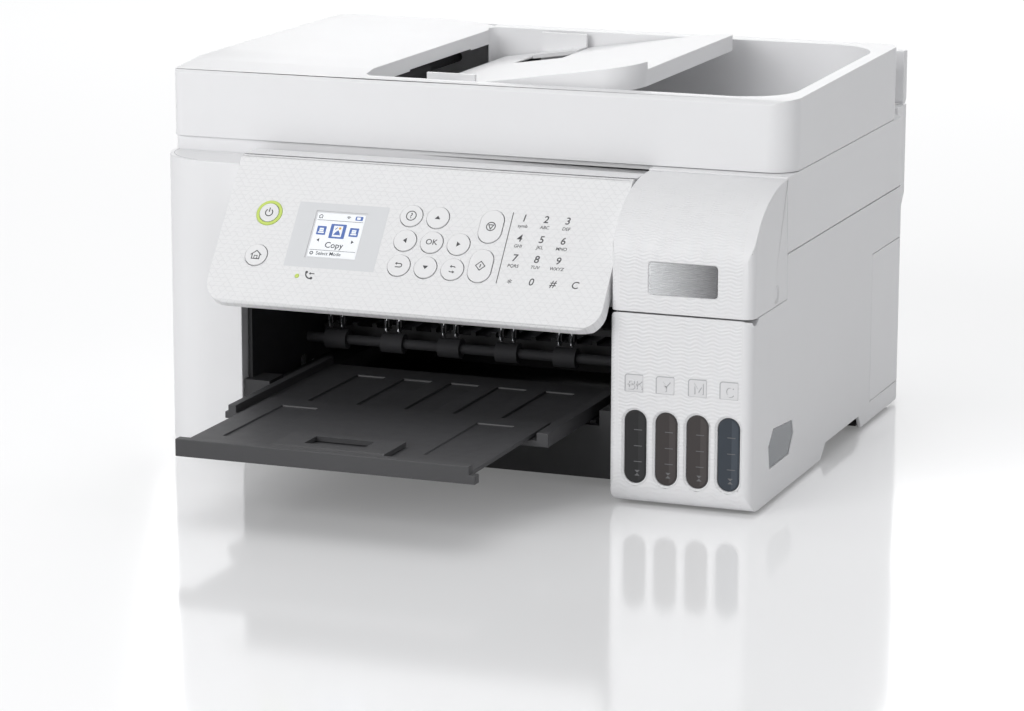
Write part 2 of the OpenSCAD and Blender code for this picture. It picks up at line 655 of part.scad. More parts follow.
// Sloped tray for the originals: a wedge shell with a raised front rim
tray_low = [-66, 209];
tray_high = [90, 232.5];
tray_y = [83, 285];
module tray_band(up, down) polygon([
    [tray_low[0], tray_low[1] - down], [tray_high[0], tray_high[1] - down],
    [tray_high[0], tray_high[1] + up], [tray_low[0], tray_low[1] + up]]);
module input_tray() color(shell_white) centred() {
    difference() {
        union() {
            intersection() {
                along_y(tray_y[0], tray_y[1]) tray_band(0, 10);
                upright(190, 240) plan(tray_low[0], tray_high[0], tray_y[0], tray_y[1], hl = 22, hh = 22);
            }
            intersection() {
                along_y(tray_y[0], 110) tray_band(4.5, 2);
                upright(190, 240) plan(-20, tray_high[0], tray_y[0], 110, hl = 22);
                along_x(-21, tray_high[0])
                    polygon([[83, 190], [83, 240], [104, 240], [110, 200], [110, 190]]);
            }
        }
        intersection() {
            along_y(tray_y[0] + wall, tray_y[1] - wall) tray_band(-wall, 12);
            upright(190, 240)
                plan(tray_low[0] + wall, tray_high[0] - wall, tray_y[0] + wall, tray_y[1] - wall,
                    hl = 20, hh = 20);
        }
        for (y = [87.5, 232]) along_x(-41, -9) polygon([[y, 200], [y, 240], [y + 51, 240], [y + 51, 200]]);
    }
    for (y = [tray_y[0], tray_y[1] - 6]) {
        rod_y(tray_pin_x, y, y + 6, tray_pin_z, 4.5);
        rod_y(tray_pin_x, y > 200 ? y : 75, y > 200 ? 290.5 : y + 1, tray_pin_z, 2);
    }
}

// Edge guide for the originals: a low fence on a foot that fills its slot in the tray
module edge_guide(y, fence) union() {
    intersection() {
        block(-40, -10, y, y + 18, 190, 240);
        along_y(y, y + 18) tray_band(0.8, 1.6);
    }
    block(-40, -10, fence, fence + 2.4, 214, 226);
}
module front_guide() color(shell_white) centred() edge_guide(88, 88);
module back_guide() color(shell_white) centred() edge_guide(264.5, 280.1);

// ---------------------------------------------------------------- control panel
panel_x = [-136.6, 104];

// Work on the panel's face: x across, y up the face from the hinge edge, z out of the face
module on_panel() translate([0, panel_y, panel_z]) rotate([90 - panel_tilt, 0, 0]) children();

module panel_outline(d) plan(panel_x[0] + d, panel_x[1] - d, -panel_len + d, -d, ll = 14 - d, hl = 14 - d,
    hh = 2, lh = 2);
module panel_housing() color(shell_white) centred() on_panel() difference() {
    union() {
        intersection() {
            upright(-panel_t, 0) panel_outline(0);
            along_x(panel_x[0], panel_x[1]) polygon([
                [0, -1], [0, -panel_t], [-panel_len + 3, -panel_t], [-panel_len, -panel_t + 3],
                [-panel_len, -1.4], [-panel_len + 1.4, 0], [-1, 0]]);
        }
        intersection() {
            rod_x(panel_x[0], panel_x[1], -panel_t / 2, -panel_t / 2, panel_t * 0.707);
            block(panel_x[0], panel_x[1], -panel_t, 10, -12, -1.2);
        }
    }
    upright(-panel_t + 2, -1.6) plan(panel_x[0] + 4, panel_x[1] - 4, -panel_len + 6, -12);
    for (k = ROUND_KEYS) rod_z(k[0], -k[1], -3, 1, k[2] + 0.4);
    for (k = PILL_KEYS) upright(-3, 1) translate([k[0], -k[1]]) stadium(pill_w + 0.8, pill_h + 0.8);
    upright(-3, 1) plan(-80.6, -48.3, -63.7, -32.8);
    rod_z(power_at[0], -power_at[1], -0.9, 1, 8);
    rod_z(-82, -75.3, -3, 1, 1.3);
    for (x = [panel_x[0] - 1, panel_x[1] - 5]) rod_x(x, x + 6, -panel_t / 2, -panel_t / 2, 1.5 + fit);
}

// Round keys: x, distance down the face, radius
power_at = [-109.4, 36.7];
ROUND_KEYS = [
    [power_at[0], power_at[1], 5.8], [-110.3, 64.2, 6.6],
    [-22, 32.4, 6.6], [-5.8, 32.4, 6.6],
    [-22, 48.2, 6.6], [-5.8, 48.2, 6.6], [10.5, 48.2, 6.6],
    [-22, 64.1, 6.6], [-5.8, 64.1, 6.6], [10.5, 64.1, 6.6]];
PILL_KEYS = [[27.2, 35.6], [26.7, 60.6]];
pill_w = 13.6;
pill_h = 20.4;

module round_key(i) color(key_grey) centred() on_panel() {
    k = ROUND_KEYS[i];
    rod_z(k[0], -k[1], -3.4 + key_travel, 0.5, k[2]);
}
module pill_key(i) color(key_grey) centred() on_panel() {
    k = PILL_KEYS[i];
    upright(-3.4 + key_travel, 0.5) translate([k[0], -k[1]]) stadium(pill_w, pill_h);
}
module power_key() round_key(0);
module home_key() round_key(1);
module help_key() round_key(2);
module up_key() round_key(3);
module left_key() round_key(4);
module ok_key() round_key(5);
module right_key() round_key(6);
module back_key() round_key(7);
module down_key() round_key(8);
module mode_key() round_key(9);
module stop_key() pill_key(0);
module start_key() pill_key(1);

module display() color([0.25, 0.35, 0.6]) centred() on_panel()
    upright(-1.5, -0.2) plan(-80.4, -48.5, -63.5, -33);

// Light ring round the power key, and the lamp under the display
module panel_lights() color([0.75, 0.95, 0.25]) centred() on_panel() {
    difference() {
        rod_z(power_at[0], -power_at[1], -0.85, 0.2, 7.8);
        rod_z(power_at[0], -power_at[1], -2, 1, 6.2);
    }
    rod_z(-82, -75.3, -1.5, 0.1, 1.2);
}

// ---------------------------------------------------------------- paper trays
tray_z = 38;
tray_plate = [-118, 79];
module output_tray() color(tray_grey) centred() difference() {
    union() {
        block(tray_plate[0], tray_plate[1], -28, 112, tray_z, tray_z + 3.4);
        for (x = [tray_plate[0], tray_plate[1] - 7]) block(x, x + 7, -28, 112, tray_z, tray_z + 8);
    }
    for (i = [0:4]) block(-86 + i * 30, -68 + i * 30, -10, 90, tray_z + 2.2, tray_z + 4);
    block(tray_plate[0] - 1, tray_plate[0] + 2, -29, 113, tray_z + 4, tray_z + 9);
}
bar_left = -105;
module tray_extension() color(tray_grey) centred() difference() {
    union() {
        block(bar_left, bar_left + bar_w, tray_front, tray_front + 6, tray_z, tray_z + 9.8);
        block(bar_left, bar_left + bar_w, tray_front + 5, 6, tray_z + 3.8, tray_z + 6.2);
        block(bar_left + bar_w - 1, bar_left + bar_w + 3.5, tray_front, tray_front + 6, tray_z, tray_z + 5);
    }
    for (x = [-90, 30]) block(x, x + 22, -90, -10, tray_z + 5.2, tray_z + 7);
}
stopper_pin_y = tray_front + 11;
stopper_pin_z = tray_z + 8;
module tray_stopper() color(tray_grey) centred() difference() {
    union() {
        block(-52, 15, stopper_pin_y, stopper_pin_y + 30, stopper_pin_z - 1.3, stopper_pin_z + 1.3);
        rod_x(-52, 15, stopper_pin_y, stopper_pin_z, 1.5);
    }
    block(-36, -1, stopper_pin_y + 8, stopper_pin_y + 24, stopper_pin_z - 2, stopper_pin_z + 2);
}

support_pin_y = support_back - 4;
support_pin_z = hopper_top + 4.4;
module rear_support() color(shell_white) centred() difference() {
    union() {
        block(-hopper_w, hopper_w, support_back - 8, support_back, support_pin_z, support_top);
        rod_x(-hopper_w, hopper_w, support_pin_y, support_pin_z, 4);
    }
    block(-120, 74, support_back - 9, support_back - 4, support_pin_z + 6, support_top - 4);
}
guard_pin_y = 328.4;
guard_pin_z = hopper_top + 1.3;
module feeder_guard() color(shell_white) centred() union() {
    block(slot_x[0] + 1, slot_x[1] - 1, guard_pin_y, 336.6, guard_pin_z - 0.9, guard_pin_z + 0.9);
    rod_x(slot_x[0] + 1, slot_x[1] - 1, guard_pin_y, guard_pin_z, 0.95);
}
module rear_edge_guide() color(inside_black) centred() union() {
    along_x(82.5, 84.5) polygon([[328, 152], [331.6, 152], [337, 181], [337, 182.8], [328, 182.8]]);
}

base_pan();
rubber_feet();
left_cover();
tank_cover();
rear_side_cover();
rear_cover();
top_strip();
inner_frame();
platen();
carriage_rail();
carriage_drive();
maintenance_box();
ink_tanks();
side_window();
main_board();
power_supply();
cover_screws();
sheet_guide();
feed_roller();
exit_roller();
print_carriage();
tank_lid();
badge_plate();
cap_black();
cap_yellow();
cap_magenta();
cap_cyan();
output_tray();
tray_extension();
tray_stopper();
rear_support();
feeder_guard();
rear_edge_guide();
scanner_housing();
scanner_glass();
sensor_rail();
sensor_carriage();
feeder_housing();
document_mat();
feeder_cover();
pickup_roller();
delivery_roller();
input_tray();
front_guide();
back_guide();
panel_housing();
display();
panel_lights();
power_key();
home_key();
help_key();
up_key();
left_key();
ok_key();
right_key();
back_key();
down_key();
mode_key();
stop_key();
start_key();
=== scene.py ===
# %% [markdown]
# A desktop inkjet printer with ink tanks, dressed for a studio picture.
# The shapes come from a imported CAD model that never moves, so this lesson is about finish: rounded
# edges, moulded textures, printed signs and the small parts that only show close up.

# %% Load the frame
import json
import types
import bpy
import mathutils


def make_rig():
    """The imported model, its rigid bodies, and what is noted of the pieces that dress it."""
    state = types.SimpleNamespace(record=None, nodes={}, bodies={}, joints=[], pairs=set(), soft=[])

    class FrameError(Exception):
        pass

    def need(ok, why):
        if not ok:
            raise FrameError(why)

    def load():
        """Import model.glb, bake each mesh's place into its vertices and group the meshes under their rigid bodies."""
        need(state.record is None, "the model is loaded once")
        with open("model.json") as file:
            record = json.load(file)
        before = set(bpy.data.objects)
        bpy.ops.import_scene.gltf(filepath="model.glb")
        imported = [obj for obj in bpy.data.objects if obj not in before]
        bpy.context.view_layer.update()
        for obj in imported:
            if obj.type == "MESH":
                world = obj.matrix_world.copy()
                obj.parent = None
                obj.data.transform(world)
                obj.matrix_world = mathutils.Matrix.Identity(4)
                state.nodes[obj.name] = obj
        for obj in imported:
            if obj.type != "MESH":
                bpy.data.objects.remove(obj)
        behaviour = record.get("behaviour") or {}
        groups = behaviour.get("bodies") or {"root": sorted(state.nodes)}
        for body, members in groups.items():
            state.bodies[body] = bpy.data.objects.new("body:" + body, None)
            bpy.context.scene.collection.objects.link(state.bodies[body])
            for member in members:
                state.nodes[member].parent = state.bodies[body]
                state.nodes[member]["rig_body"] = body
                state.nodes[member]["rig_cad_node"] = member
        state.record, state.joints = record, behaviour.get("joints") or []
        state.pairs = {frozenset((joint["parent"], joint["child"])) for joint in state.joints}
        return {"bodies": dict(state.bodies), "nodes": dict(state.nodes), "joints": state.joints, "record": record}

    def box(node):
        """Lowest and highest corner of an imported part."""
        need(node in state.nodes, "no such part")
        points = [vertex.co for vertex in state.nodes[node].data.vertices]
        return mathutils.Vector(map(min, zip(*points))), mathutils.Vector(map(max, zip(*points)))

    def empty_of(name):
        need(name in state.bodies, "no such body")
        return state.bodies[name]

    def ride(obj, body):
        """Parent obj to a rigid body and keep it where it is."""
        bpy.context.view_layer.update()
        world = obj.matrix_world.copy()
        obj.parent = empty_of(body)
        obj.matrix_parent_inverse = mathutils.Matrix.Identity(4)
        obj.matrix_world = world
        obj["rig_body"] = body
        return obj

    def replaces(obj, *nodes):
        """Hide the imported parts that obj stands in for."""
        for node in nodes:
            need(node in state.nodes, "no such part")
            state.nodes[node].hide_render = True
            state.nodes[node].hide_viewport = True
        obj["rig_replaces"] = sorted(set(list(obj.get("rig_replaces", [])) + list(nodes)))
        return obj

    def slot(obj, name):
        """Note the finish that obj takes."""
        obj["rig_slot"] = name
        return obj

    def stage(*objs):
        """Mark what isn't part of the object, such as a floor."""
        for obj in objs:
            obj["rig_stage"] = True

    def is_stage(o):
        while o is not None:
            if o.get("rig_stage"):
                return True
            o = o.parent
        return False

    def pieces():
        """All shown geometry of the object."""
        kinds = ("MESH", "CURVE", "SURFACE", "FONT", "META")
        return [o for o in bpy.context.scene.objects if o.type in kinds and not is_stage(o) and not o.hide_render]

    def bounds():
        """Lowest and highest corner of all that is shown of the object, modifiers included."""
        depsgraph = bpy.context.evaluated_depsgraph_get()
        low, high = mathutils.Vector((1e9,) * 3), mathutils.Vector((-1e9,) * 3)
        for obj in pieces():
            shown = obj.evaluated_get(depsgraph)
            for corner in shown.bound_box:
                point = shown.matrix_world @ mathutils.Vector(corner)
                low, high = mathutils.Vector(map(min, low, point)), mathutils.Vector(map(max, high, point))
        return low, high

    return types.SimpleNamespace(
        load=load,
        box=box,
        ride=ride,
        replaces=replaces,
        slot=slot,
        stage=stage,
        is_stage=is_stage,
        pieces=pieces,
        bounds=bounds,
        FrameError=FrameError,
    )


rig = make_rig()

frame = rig.load()
import json
from math import cos, hypot, pi, radians, sin
import bmesh
import bpy
from mathutils import Matrix, Vector

cad_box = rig.bounds()
MM = 0.001
print("bodies", len(frame["bodies"]), "nodes", len(frame["nodes"]))

# %% [markdown]
# The CAD model puts its origin in the middle of the footprint. It is easier to think from the face of
# the ink tanks and the middle of the paper path, because most sizes were taken from there, so one
# helper turns such millimetres into the frame's metres. Asking the frame for a box keeps them in step.

# %% Millimetres from the tank face and the middle of the paper path
tank_low, tank_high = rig.box("tank_cover")
SIDE_FACE = 187.5
path_middle = tank_high.x - SIDE_FACE * MM


def at(x, y, z):
    """A point in metres from millimetres: x from the paper path, y from the tank face, z up."""
    return Vector((path_middle + x * MM, tank_low.y + y * MM, z * MM))


print("tank face and path middle", [round(c, 4) for c in at(0, 0, 0)])

# %% [markdown]
# A long lens from the right and a little above keeps the upright edges almost parallel, the way a
# product is usually pictured. The small vertical shift keeps the machine high in the picture.

# %% Camera
VIEW_TURN, VIEW_FALL, VIEW_ROLL = radians(20.7756), radians(12.6548), radians(-0.1439)
camera_data = bpy.data.cameras.new("studio_camera")
camera_data.lens = 131.37
camera_data.shift_x = 0.0003
camera_data.shift_y = 0.0171
camera_data.clip_end = 60.0
camera = bpy.data.objects.new("studio_camera", camera_data)
camera.location = at(772.93, -1914.33, 531.75)
look = Matrix.Rotation(VIEW_TURN, 4, "Z") @ Matrix.Rotation(pi / 2 - VIEW_FALL, 4, "X")
camera.rotation_euler = (look @ Matrix.Rotation(-VIEW_ROLL, 4, "Z")).to_euler()
bpy.context.scene.collection.objects.link(camera)
bpy.context.scene.camera = camera
bpy.context.scene.view_settings.view_transform = "Standard"
print("camera", [round(c, 3) for c in camera.location])

# %% [markdown]
# White plastic only reads as white when the light wraps round it. One wide lamp in front lights the
# panel, one overhead keeps the top a touch brighter, and the right side is left a shade darker so
# that the corner of the tank block stays visible.

# %% Lamps and the white room


def softbox(name, place, target, width, height, watts):
    """A rectangular studio lamp that faces its target."""
    lamp = bpy.data.lights.new(name, "AREA")
    lamp.shape = "RECTANGLE"
    lamp.size, lamp.size_y, lamp.energy = width, height, watts
    holder = bpy.data.objects.new(name, lamp)
    holder.location = place
    holder.rotation_euler = (Vector(target) - Vector(place)).to_track_quat("-Z", "Y").to_euler()
    bpy.context.scene.collection.objects.link(holder)
    return holder


AIM = (0.0, 0.0, 0.12)
softbox("front_lamp", (-0.9, -2.4, 1.1), AIM, 1.8, 1.4, 33)
softbox("top_lamp", (-0.1, 0.1, 2.2), AIM, 1.8, 1.8, 10.5)
softbox("right_lamp", (2.4, -0.3, 0.9), AIM, 1.2, 1.2, 4.5)
softbox("back_lamp", (-0.6, 2.4, 1.3), AIM, 1.6, 1.2, 12)

room = bpy.data.worlds.new("white_room")
bpy.context.scene.world = room
room.use_nodes = True
room_nodes, room_links = room.node_tree.nodes, room.node_tree.links
room_light = room_nodes["Background"]
room_light.inputs["Color"].default_value = (0.97, 0.98, 1.0, 1.0)
room_light.inputs["Strength"].default_value = 0.34
room_white = room_nodes.new("ShaderNodeBackground")
room_white.inputs["Color"].default_value = (1.0, 1.0, 1.0, 1.0)
room_white.inputs["Strength"].default_value = 1.0
ray_kind = room_nodes.new("ShaderNodeLightPath")
seen = ray_kind.outputs["Is Camera Ray"]
for kind in ("Is Transmission Ray", "Is Glossy Ray"):
    either = room_nodes.new("ShaderNodeMath")
    either.operation = "MAXIMUM"
    room_links.new(seen, either.inputs[0])
    room_links.new(ray_kind.outputs[kind], either.inputs[1])
    seen = either.outputs[0]
room_mix = room_nodes.new("ShaderNodeMixShader")
room_links.new(seen, room_mix.inputs[0])
room_links.new(room_light.outputs[0], room_mix.inputs[1])
room_links.new(room_white.outputs[0], room_mix.inputs[2])
room_links.new(room_mix.outputs[0], room_nodes["World Output"].inputs["Surface"])
print("lamps", sum(o.type == "LIGHT" for o in bpy.data.objects))

# %% [markdown]
# The floor is a polished white sweep. It shows a soft mirror image of the front, as a gloss acrylic
# sheet does, and keeps the shadow that seats the machine on it.

# %% Polished floor
floor_shape = bpy.data.meshes.new("floor")
REACH = 14.0
floor_shape.from_pydata([(-REACH, -REACH, 0), (REACH, -REACH, 0), (REACH, REACH, 0), (-REACH, REACH, 0)], [],
                        [(0, 1, 2, 3)])
floor = bpy.data.objects.new("floor", floor_shape)
floor.location.z = -0.0002
bpy.context.scene.collection.objects.link(floor)
floor_finish = bpy.data.materials.new("polished_floor")
floor_finish.use_nodes = True
floor_shader = floor_finish.node_tree.nodes["Principled BSDF"]
floor_shader.inputs["Base Color"].default_value = (0.96, 0.96, 0.965, 1.0)
floor_shader.inputs["Roughness"].default_value = 0.1
floor_shader.inputs["IOR"].default_value = 1.9
floor_seen = floor_finish.node_tree.nodes.new("ShaderNodeLightPath").outputs["Is Camera Ray"]
floor_glow = floor_finish.node_tree.nodes.new("ShaderNodeMath")
floor_glow.operation = "MULTIPLY"
floor_glow.inputs[1].default_value = 0.15
floor_finish.node_tree.links.new(floor_seen, floor_glow.inputs[0])
floor_finish.node_tree.links.new(floor_glow.outputs[0], floor_shader.inputs["Emission Strength"])
floor_shader.inputs["Emission Color"].default_value = (1.0, 1.0, 1.0, 1.0)
floor_shape.materials.append(floor_finish)
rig.stage(floor)
print("floor", floor.name)

# %% [markdown]
# Every finish starts from the same recipe: a base colour with a very faint drift, a roughness that
# wanders a little, and a relief made from noise in the object's own coordinates. Coordinates in metres
# keep the grain at its real size on every piece, and they move with the piece when a joint turns.

# %% Recipe for a moulded finish


class Finish:
    """A procedural material under construction, with short ways to add its nodes."""

    def __init__(self, name):
        self.material = bpy.data.materials.new(name)
        self.material.use_nodes = True
        self.nodes = self.material.node_tree.nodes
        self.links = self.material.node_tree.links
        self.shader = self.nodes["Principled BSDF"]
        self.place = self.nodes.new("ShaderNodeTexCoord").outputs["Object"]

    def link(self, source, target):
        self.links.new(source, target)

    def math(self, kind, first, second=0.0, third=None):
        """One sum on two or three numbers, each a socket or a plain value."""
        node = self.nodes.new("ShaderNodeMath")
        node.operation = kind
        for spot, value in enumerate((first, second, third)):
            if isinstance(value, (int, float)):
                node.inputs[spot].default_value = value
            elif value is not None:
                self.link(value, node.inputs[spot])
        return node.outputs[0]

    def turned(self, turn=(0, 0, 0), stretch=(1, 1, 1)):
        """The object's coordinates, turned and stretched."""
        node = self.nodes.new("ShaderNodeMapping")
        node.inputs["Rotation"].default_value = turn
        node.inputs["Scale"].default_value = stretch
        self.link(self.place, node.inputs["Vector"])
        return node.outputs[0]

    def noise(self, size_mm, detail=2.0, place=None, rough=0.5):
        node = self.nodes.new("ShaderNodeTexNoise")
        node.inputs["Scale"].default_value = 1.0 / (size_mm * MM)
        node.inputs["Detail"].default_value = detail
        node.inputs["Roughness"].default_value = rough
        self.link(place or self.place, node.inputs["Vector"])
        return node.outputs["Fac"]

    def spread(self, value, low, high):
        """A value from 0 to 1 carried to the range from low to high."""
        node = self.nodes.new("ShaderNodeMapRange")
        node.inputs["To Min"].default_value = low
        node.inputs["To Max"].default_value = high
        self.link(value, node.inputs["Value"])
        return node.outputs[0]

    def tint(self, fac, dark, light):
        """Colour between two close shades of one pigment."""
        node = self.nodes.new("ShaderNodeMix")
        node.data_type = "RGBA"
        node.inputs[6].default_value = (*dark, 1.0)
        node.inputs[7].default_value = (*light, 1.0)
        self.link(fac, node.inputs[0])
        self.link(node.outputs[2], self.shader.inputs["Base Color"])
        return node.outputs[2]

    def relief(self, height, depth_mm, below=None):
        """Surface relief of a real depth, laid over an earlier one."""
        node = self.nodes.new("ShaderNodeBump")
        node.inputs["Distance"].default_value = depth_mm * MM
        self.link(height, node.inputs["Height"])
        if below is not None:
            self.link(below, node.inputs["Normal"])
        self.link(node.outputs[0], self.shader.inputs["Normal"])
        return node.outputs[0]


def moulded(name, colour, rough, grain_mm=0.5, depth_mm=0.02, drift=0.03):
    """Injection-moulded plastic: faint colour drift, spark-eroded grain, wandering gloss."""
    made = Finish(name)
    cloud = made.noise(70, detail=3.0)
    made.tint(cloud, [c * (1 - drift) for c in colour], [min(1.0, c * (1 + drift * 0.4)) for c in colour])
    grain = made.noise(grain_mm, detail=3.0, rough=0.6)
    gloss_drift = made.spread(made.noise(9, detail=2.0), rough * 0.9, rough * 1.12)
    made.link(gloss_drift, made.shader.inputs["Roughness"])
    made.grain = made.relief(grain, depth_mm)
    return made


SLOT_COLOUR = {m["slot"]: m["base_color"][:3] for m in frame["record"]["materials"]}
shell_white = moulded("shell_satin", SLOT_COLOUR["shell"], 0.42, 0.6, 0.02)
inner_black = moulded("inner_black", SLOT_COLOUR["inner_black"], 0.55, 0.5, 0.03, 0.2)
tray_grey = moulded("tray_grey", SLOT_COLOUR["tray_grey"], 0.5, 0.4, 0.03, 0.12)
foot_rubber = moulded("foot_rubber", SLOT_COLOUR["foot_rubber"], 0.8, 0.3, 0.05, 0.2)
roller_rubber = moulded("roller_rubber", SLOT_COLOUR["roller_rubber"], 0.7, 0.25, 0.06, 0.2)
foam_white = moulded("foam_white", SLOT_COLOUR["pad_white"], 0.85, 0.9, 0.12)
print("finishes so far", len(bpy.data.materials))

# %% [markdown]
# The control panel is pressed with a lattice of fine grooves: two slanting sets that cross, and short
# level dashes between them. Three saw-tooth sums make the sets, and a cloud breaks each one up, so
# that no groove runs the whole width. The grooves are also painted darker, a painted shade in them.
# The coordinates are first laid down into the panel's own plane.

# %% Lattice of the control panel
PANEL_TILT = radians(37.6)


def grooves(made, across, pitch_mm, width):
    """Parallel grooves: 1 in a groove and 0 between, with soft flanks."""
    phase = made.math("PINGPONG", across, pitch_mm * MM / 2)
    near = made.math("DIVIDE", phase, pitch_mm * MM / 2)
    flank = made.math("MULTIPLY", made.math("SUBTRACT", near, 1 - width), 1 / width)
    return made.math("SMOOTH_MIN", flank, 1.0, 0.2)


def lattice(made, turn, row_mm=2.7, lean=1.2, depth_mm=0.07):
    """Fine grooves in three directions, laid in the plane that turn brings level, with painted shade in them."""
    flat = made.turned(turn)
    parts = made.nodes.new("ShaderNodeSeparateXYZ")
    made.link(flat, parts.inputs[0])
    total = None
    sets = ((lean, 2 * row_mm, 0.12, 4.0), (-lean, 2 * row_mm, 0.12, 4.5), (0.0, row_mm, 0.17, 3.5))
    for slope, pitch, width, patch_mm in sets:
        line = made.math("MULTIPLY_ADD", parts.outputs["X"], slope, parts.outputs["Y"])
        groove = made.math("MAXIMUM", grooves(made, line, pitch, width), 0.0)
        patch = made.math("GREATER_THAN", made.noise(patch_mm, detail=0.0, place=flat), 0.42)
        groove = made.math("MULTIPLY", groove, made.math("MULTIPLY_ADD", patch, 0.75, 0.15))
        total = groove if total is None else made.math("MAXIMUM", total, groove)
    # The grooves are painted darker than the face: painted shade in the grooves.
    made.tint(total, (0.875, 0.875, 0.88), (0.755, 0.755, 0.765))
    made.relief(made.math("SUBTRACT", 1.0, total), depth_mm, made.grain)


panel_white = moulded("panel_lattice", (0.88, 0.88, 0.885), 0.4, 0.6, 0.015)
lattice(panel_white, (-(pi / 2 - PANEL_TILT), 0, 0))
print("panel finish", panel_white.material.name)

# %% [markdown]
# The tank block and its lid carry level ripples that waver and run into each other, and the feeder's
# cover has a much finer level stripe. Both are one wave bent by a slow cloud.

# %% Ripples of the tank block and stripes of the feeder cover
SWAY_MM = 9
RIPPLE_END = at(181.2, 0, 0).x


def ripples(made, pitch_mm, waver_mm, depth_mm, rise, sway_mm=0.0, stop_x=None):
    """Parallel waves that climb by y and z, bent by a slow cloud and by an even sway across x."""
    parts = made.nodes.new("ShaderNodeSeparateXYZ")
    made.link(made.place, parts.inputs[0])
    climb = made.math("MULTIPLY", parts.outputs["Y"], rise[0])
    climb = made.math("MULTIPLY_ADD", parts.outputs["Z"], rise[1], climb)
    sway = made.math("SINE", made.math("MULTIPLY", parts.outputs["X"], 2 * pi / (SWAY_MM * MM)))
    bent = made.math("MULTIPLY_ADD", sway, sway_mm * MM, climb)
    bent = made.math("MULTIPLY_ADD", made.noise(7, detail=1.0), waver_mm * MM, bent)
    wave = made.math("SINE", made.math("MULTIPLY", bent, 2 * pi / (pitch_mm * MM)))
    fade = made.math("MULTIPLY_ADD", made.noise(6, detail=0.0), 1.2, 0.1)
    if stop_x is not None:
        fade = made.math("MULTIPLY", fade, made.math("LESS_THAN", parts.outputs["X"], stop_x))
    made.relief(made.math("MULTIPLY", wave, fade), depth_mm, made.grain)


tank_white = moulded("tank_ripple", (0.85, 0.85, 0.86), 0.42, 0.6, 0.015)
ripples(tank_white, 2.1, 2.5, 0.085, (0.8, 1.0), 0.5, RIPPLE_END)
cover_white = moulded("cover_stripe", SLOT_COLOUR["shell"], 0.4, 0.6, 0.012)
ripples(cover_white, 1.3, 0.5, 0.02, (1.0, 0.0))

brushed = Finish("brushed_steel")
brushed.tint(brushed.noise(40), (0.50, 0.51, 0.53), (0.60, 0.61, 0.63))
brushed.shader.inputs["Metallic"].default_value = 1.0
streak = brushed.noise(1.0, detail=4.0, place=brushed.turned(stretch=(0.03, 1, 1)))
brushed.link(brushed.spread(streak, 0.25, 0.45), brushed.shader.inputs["Roughness"])
brushed.relief(streak, 0.01)
print("materials", len(bpy.data.materials))

# %% [markdown]
# CAD solids have knife edges, and no moulding has those. Each visible shell is copied, its triangles are
# merged back into faces, and its edges get a small round that stays inside the solid's own box. Only
# the copy changes: it then stands for the CAD node, which stays as it was for the motion.

# %% Rounded copies of the CAD shells


def smooth_by_angle(shape, degrees=32):
    """Smooth shading that keeps real corners sharp."""
    shape.shade_smooth()
    shape.set_sharp_from_angle(angle=radians(degrees))


def settle(piece, body, slot_name):
    """Puts a piece in the scene, on its body and with its material slot named."""
    if piece.name not in bpy.context.scene.collection.objects:
        bpy.context.scene.collection.objects.link(piece)
    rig.ride(piece, body)
    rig.slot(piece, slot_name)
    return piece


def node_facts(node):
    """Body and material slot of a CAD node."""
    body = next(b for b, nodes in frame["record"]["behaviour"]["bodies"].items() if node in nodes)
    slot_name = next(s["material_slot"] for s in frame["record"]["subparts"] if s["node"] == node)
    return body, slot_name


def bake_modifiers(piece):
    """Makes a piece's modifiers part of its mesh."""
    graph = bpy.context.evaluated_depsgraph_get()
    finished = bpy.data.meshes.new_from_object(piece.evaluated_get(graph))
    piece.modifiers.clear()
    piece.data = finished


def rounded(node, width_mm, made, segments=2):
    """A copy of a CAD node with its edges rounded, which replaces it."""
    source = frame["nodes"][node]
    work = bmesh.new()
    work.from_mesh(source.data)
    bmesh.ops.remove_doubles(work, verts=work.verts, dist=2e-6)
    bmesh.ops.dissolve_limit(work, angle_limit=radians(0.6), verts=work.verts, edges=work.edges)
    shape = bpy.data.meshes.new(node + "_moulding")
    work.to_mesh(shape)
    work.free()
    piece = bpy.data.objects.new(node + "_moulding", shape)
    bpy.context.scene.collection.objects.link(piece)
    bevel = piece.modifiers.new("edge_round", "BEVEL")
    bevel.width = width_mm * MM
    bevel.segments = segments
    bevel.limit_method = "ANGLE"
    bevel.angle_limit = radians(28)
    bevel.use_clamp_overlap = False
    bevel.loop_slide = True
    bake_modifiers(piece)
    low, high = ([pick(v.co[i] for v in source.data.vertices) for i in range(3)]
                 for pick in (min, max))
    for corner in piece.data.vertices:
        corner.co = [min(max(c, least), most) for c, least, most in zip(corner.co, low, high)]
    smooth_by_angle(piece.data)
    flatten = piece.modifiers.new("level_faces", "WEIGHTED_NORMAL")
    flatten.keep_sharp = True
    bake_modifiers(piece)
    piece.data.materials.clear()
    piece.data.materials.append(made.material)
    body, slot_name = node_facts(node)
    settle(piece, body, slot_name)
    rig.replaces(piece, node)
    return piece


SHELLS = {
    "left_cover": (0.7, shell_white), "tank_cover": (0.6, tank_white),
    "rear_side_cover": (0.5, shell_white), "rear_cover": (0.5, shell_white),
    "top_strip": (0.5, shell_white), "tank_lid": (0.6, tank_white),
    "scanner_housing": (0.6, shell_white), "feeder_housing": (0.35, shell_white),
    "feeder_cover": (0.3, cover_white), "input_tray": (0.6, shell_white),
    "rear_support": (0.8, shell_white), "panel_housing": (0.4, panel_white),
    "output_tray": (0.4, tray_grey), "tray_extension": (0.4, tray_grey),
}
shells = {node: rounded(node, width, made) for node, (width, made) in SHELLS.items()}
print("rounded shells", len(shells), "faces", sum(len(s.data.polygons) for s in shells.values()))

# %% [markdown]
# The smaller CAD nodes keep their own meshes and only take a finish. Ink shows dark through its tank, so
# that plastic is nearly opaque with a wet gloss, and the scanner bed is a clear sheet.

# %% Finishes on the CAD's own nodes


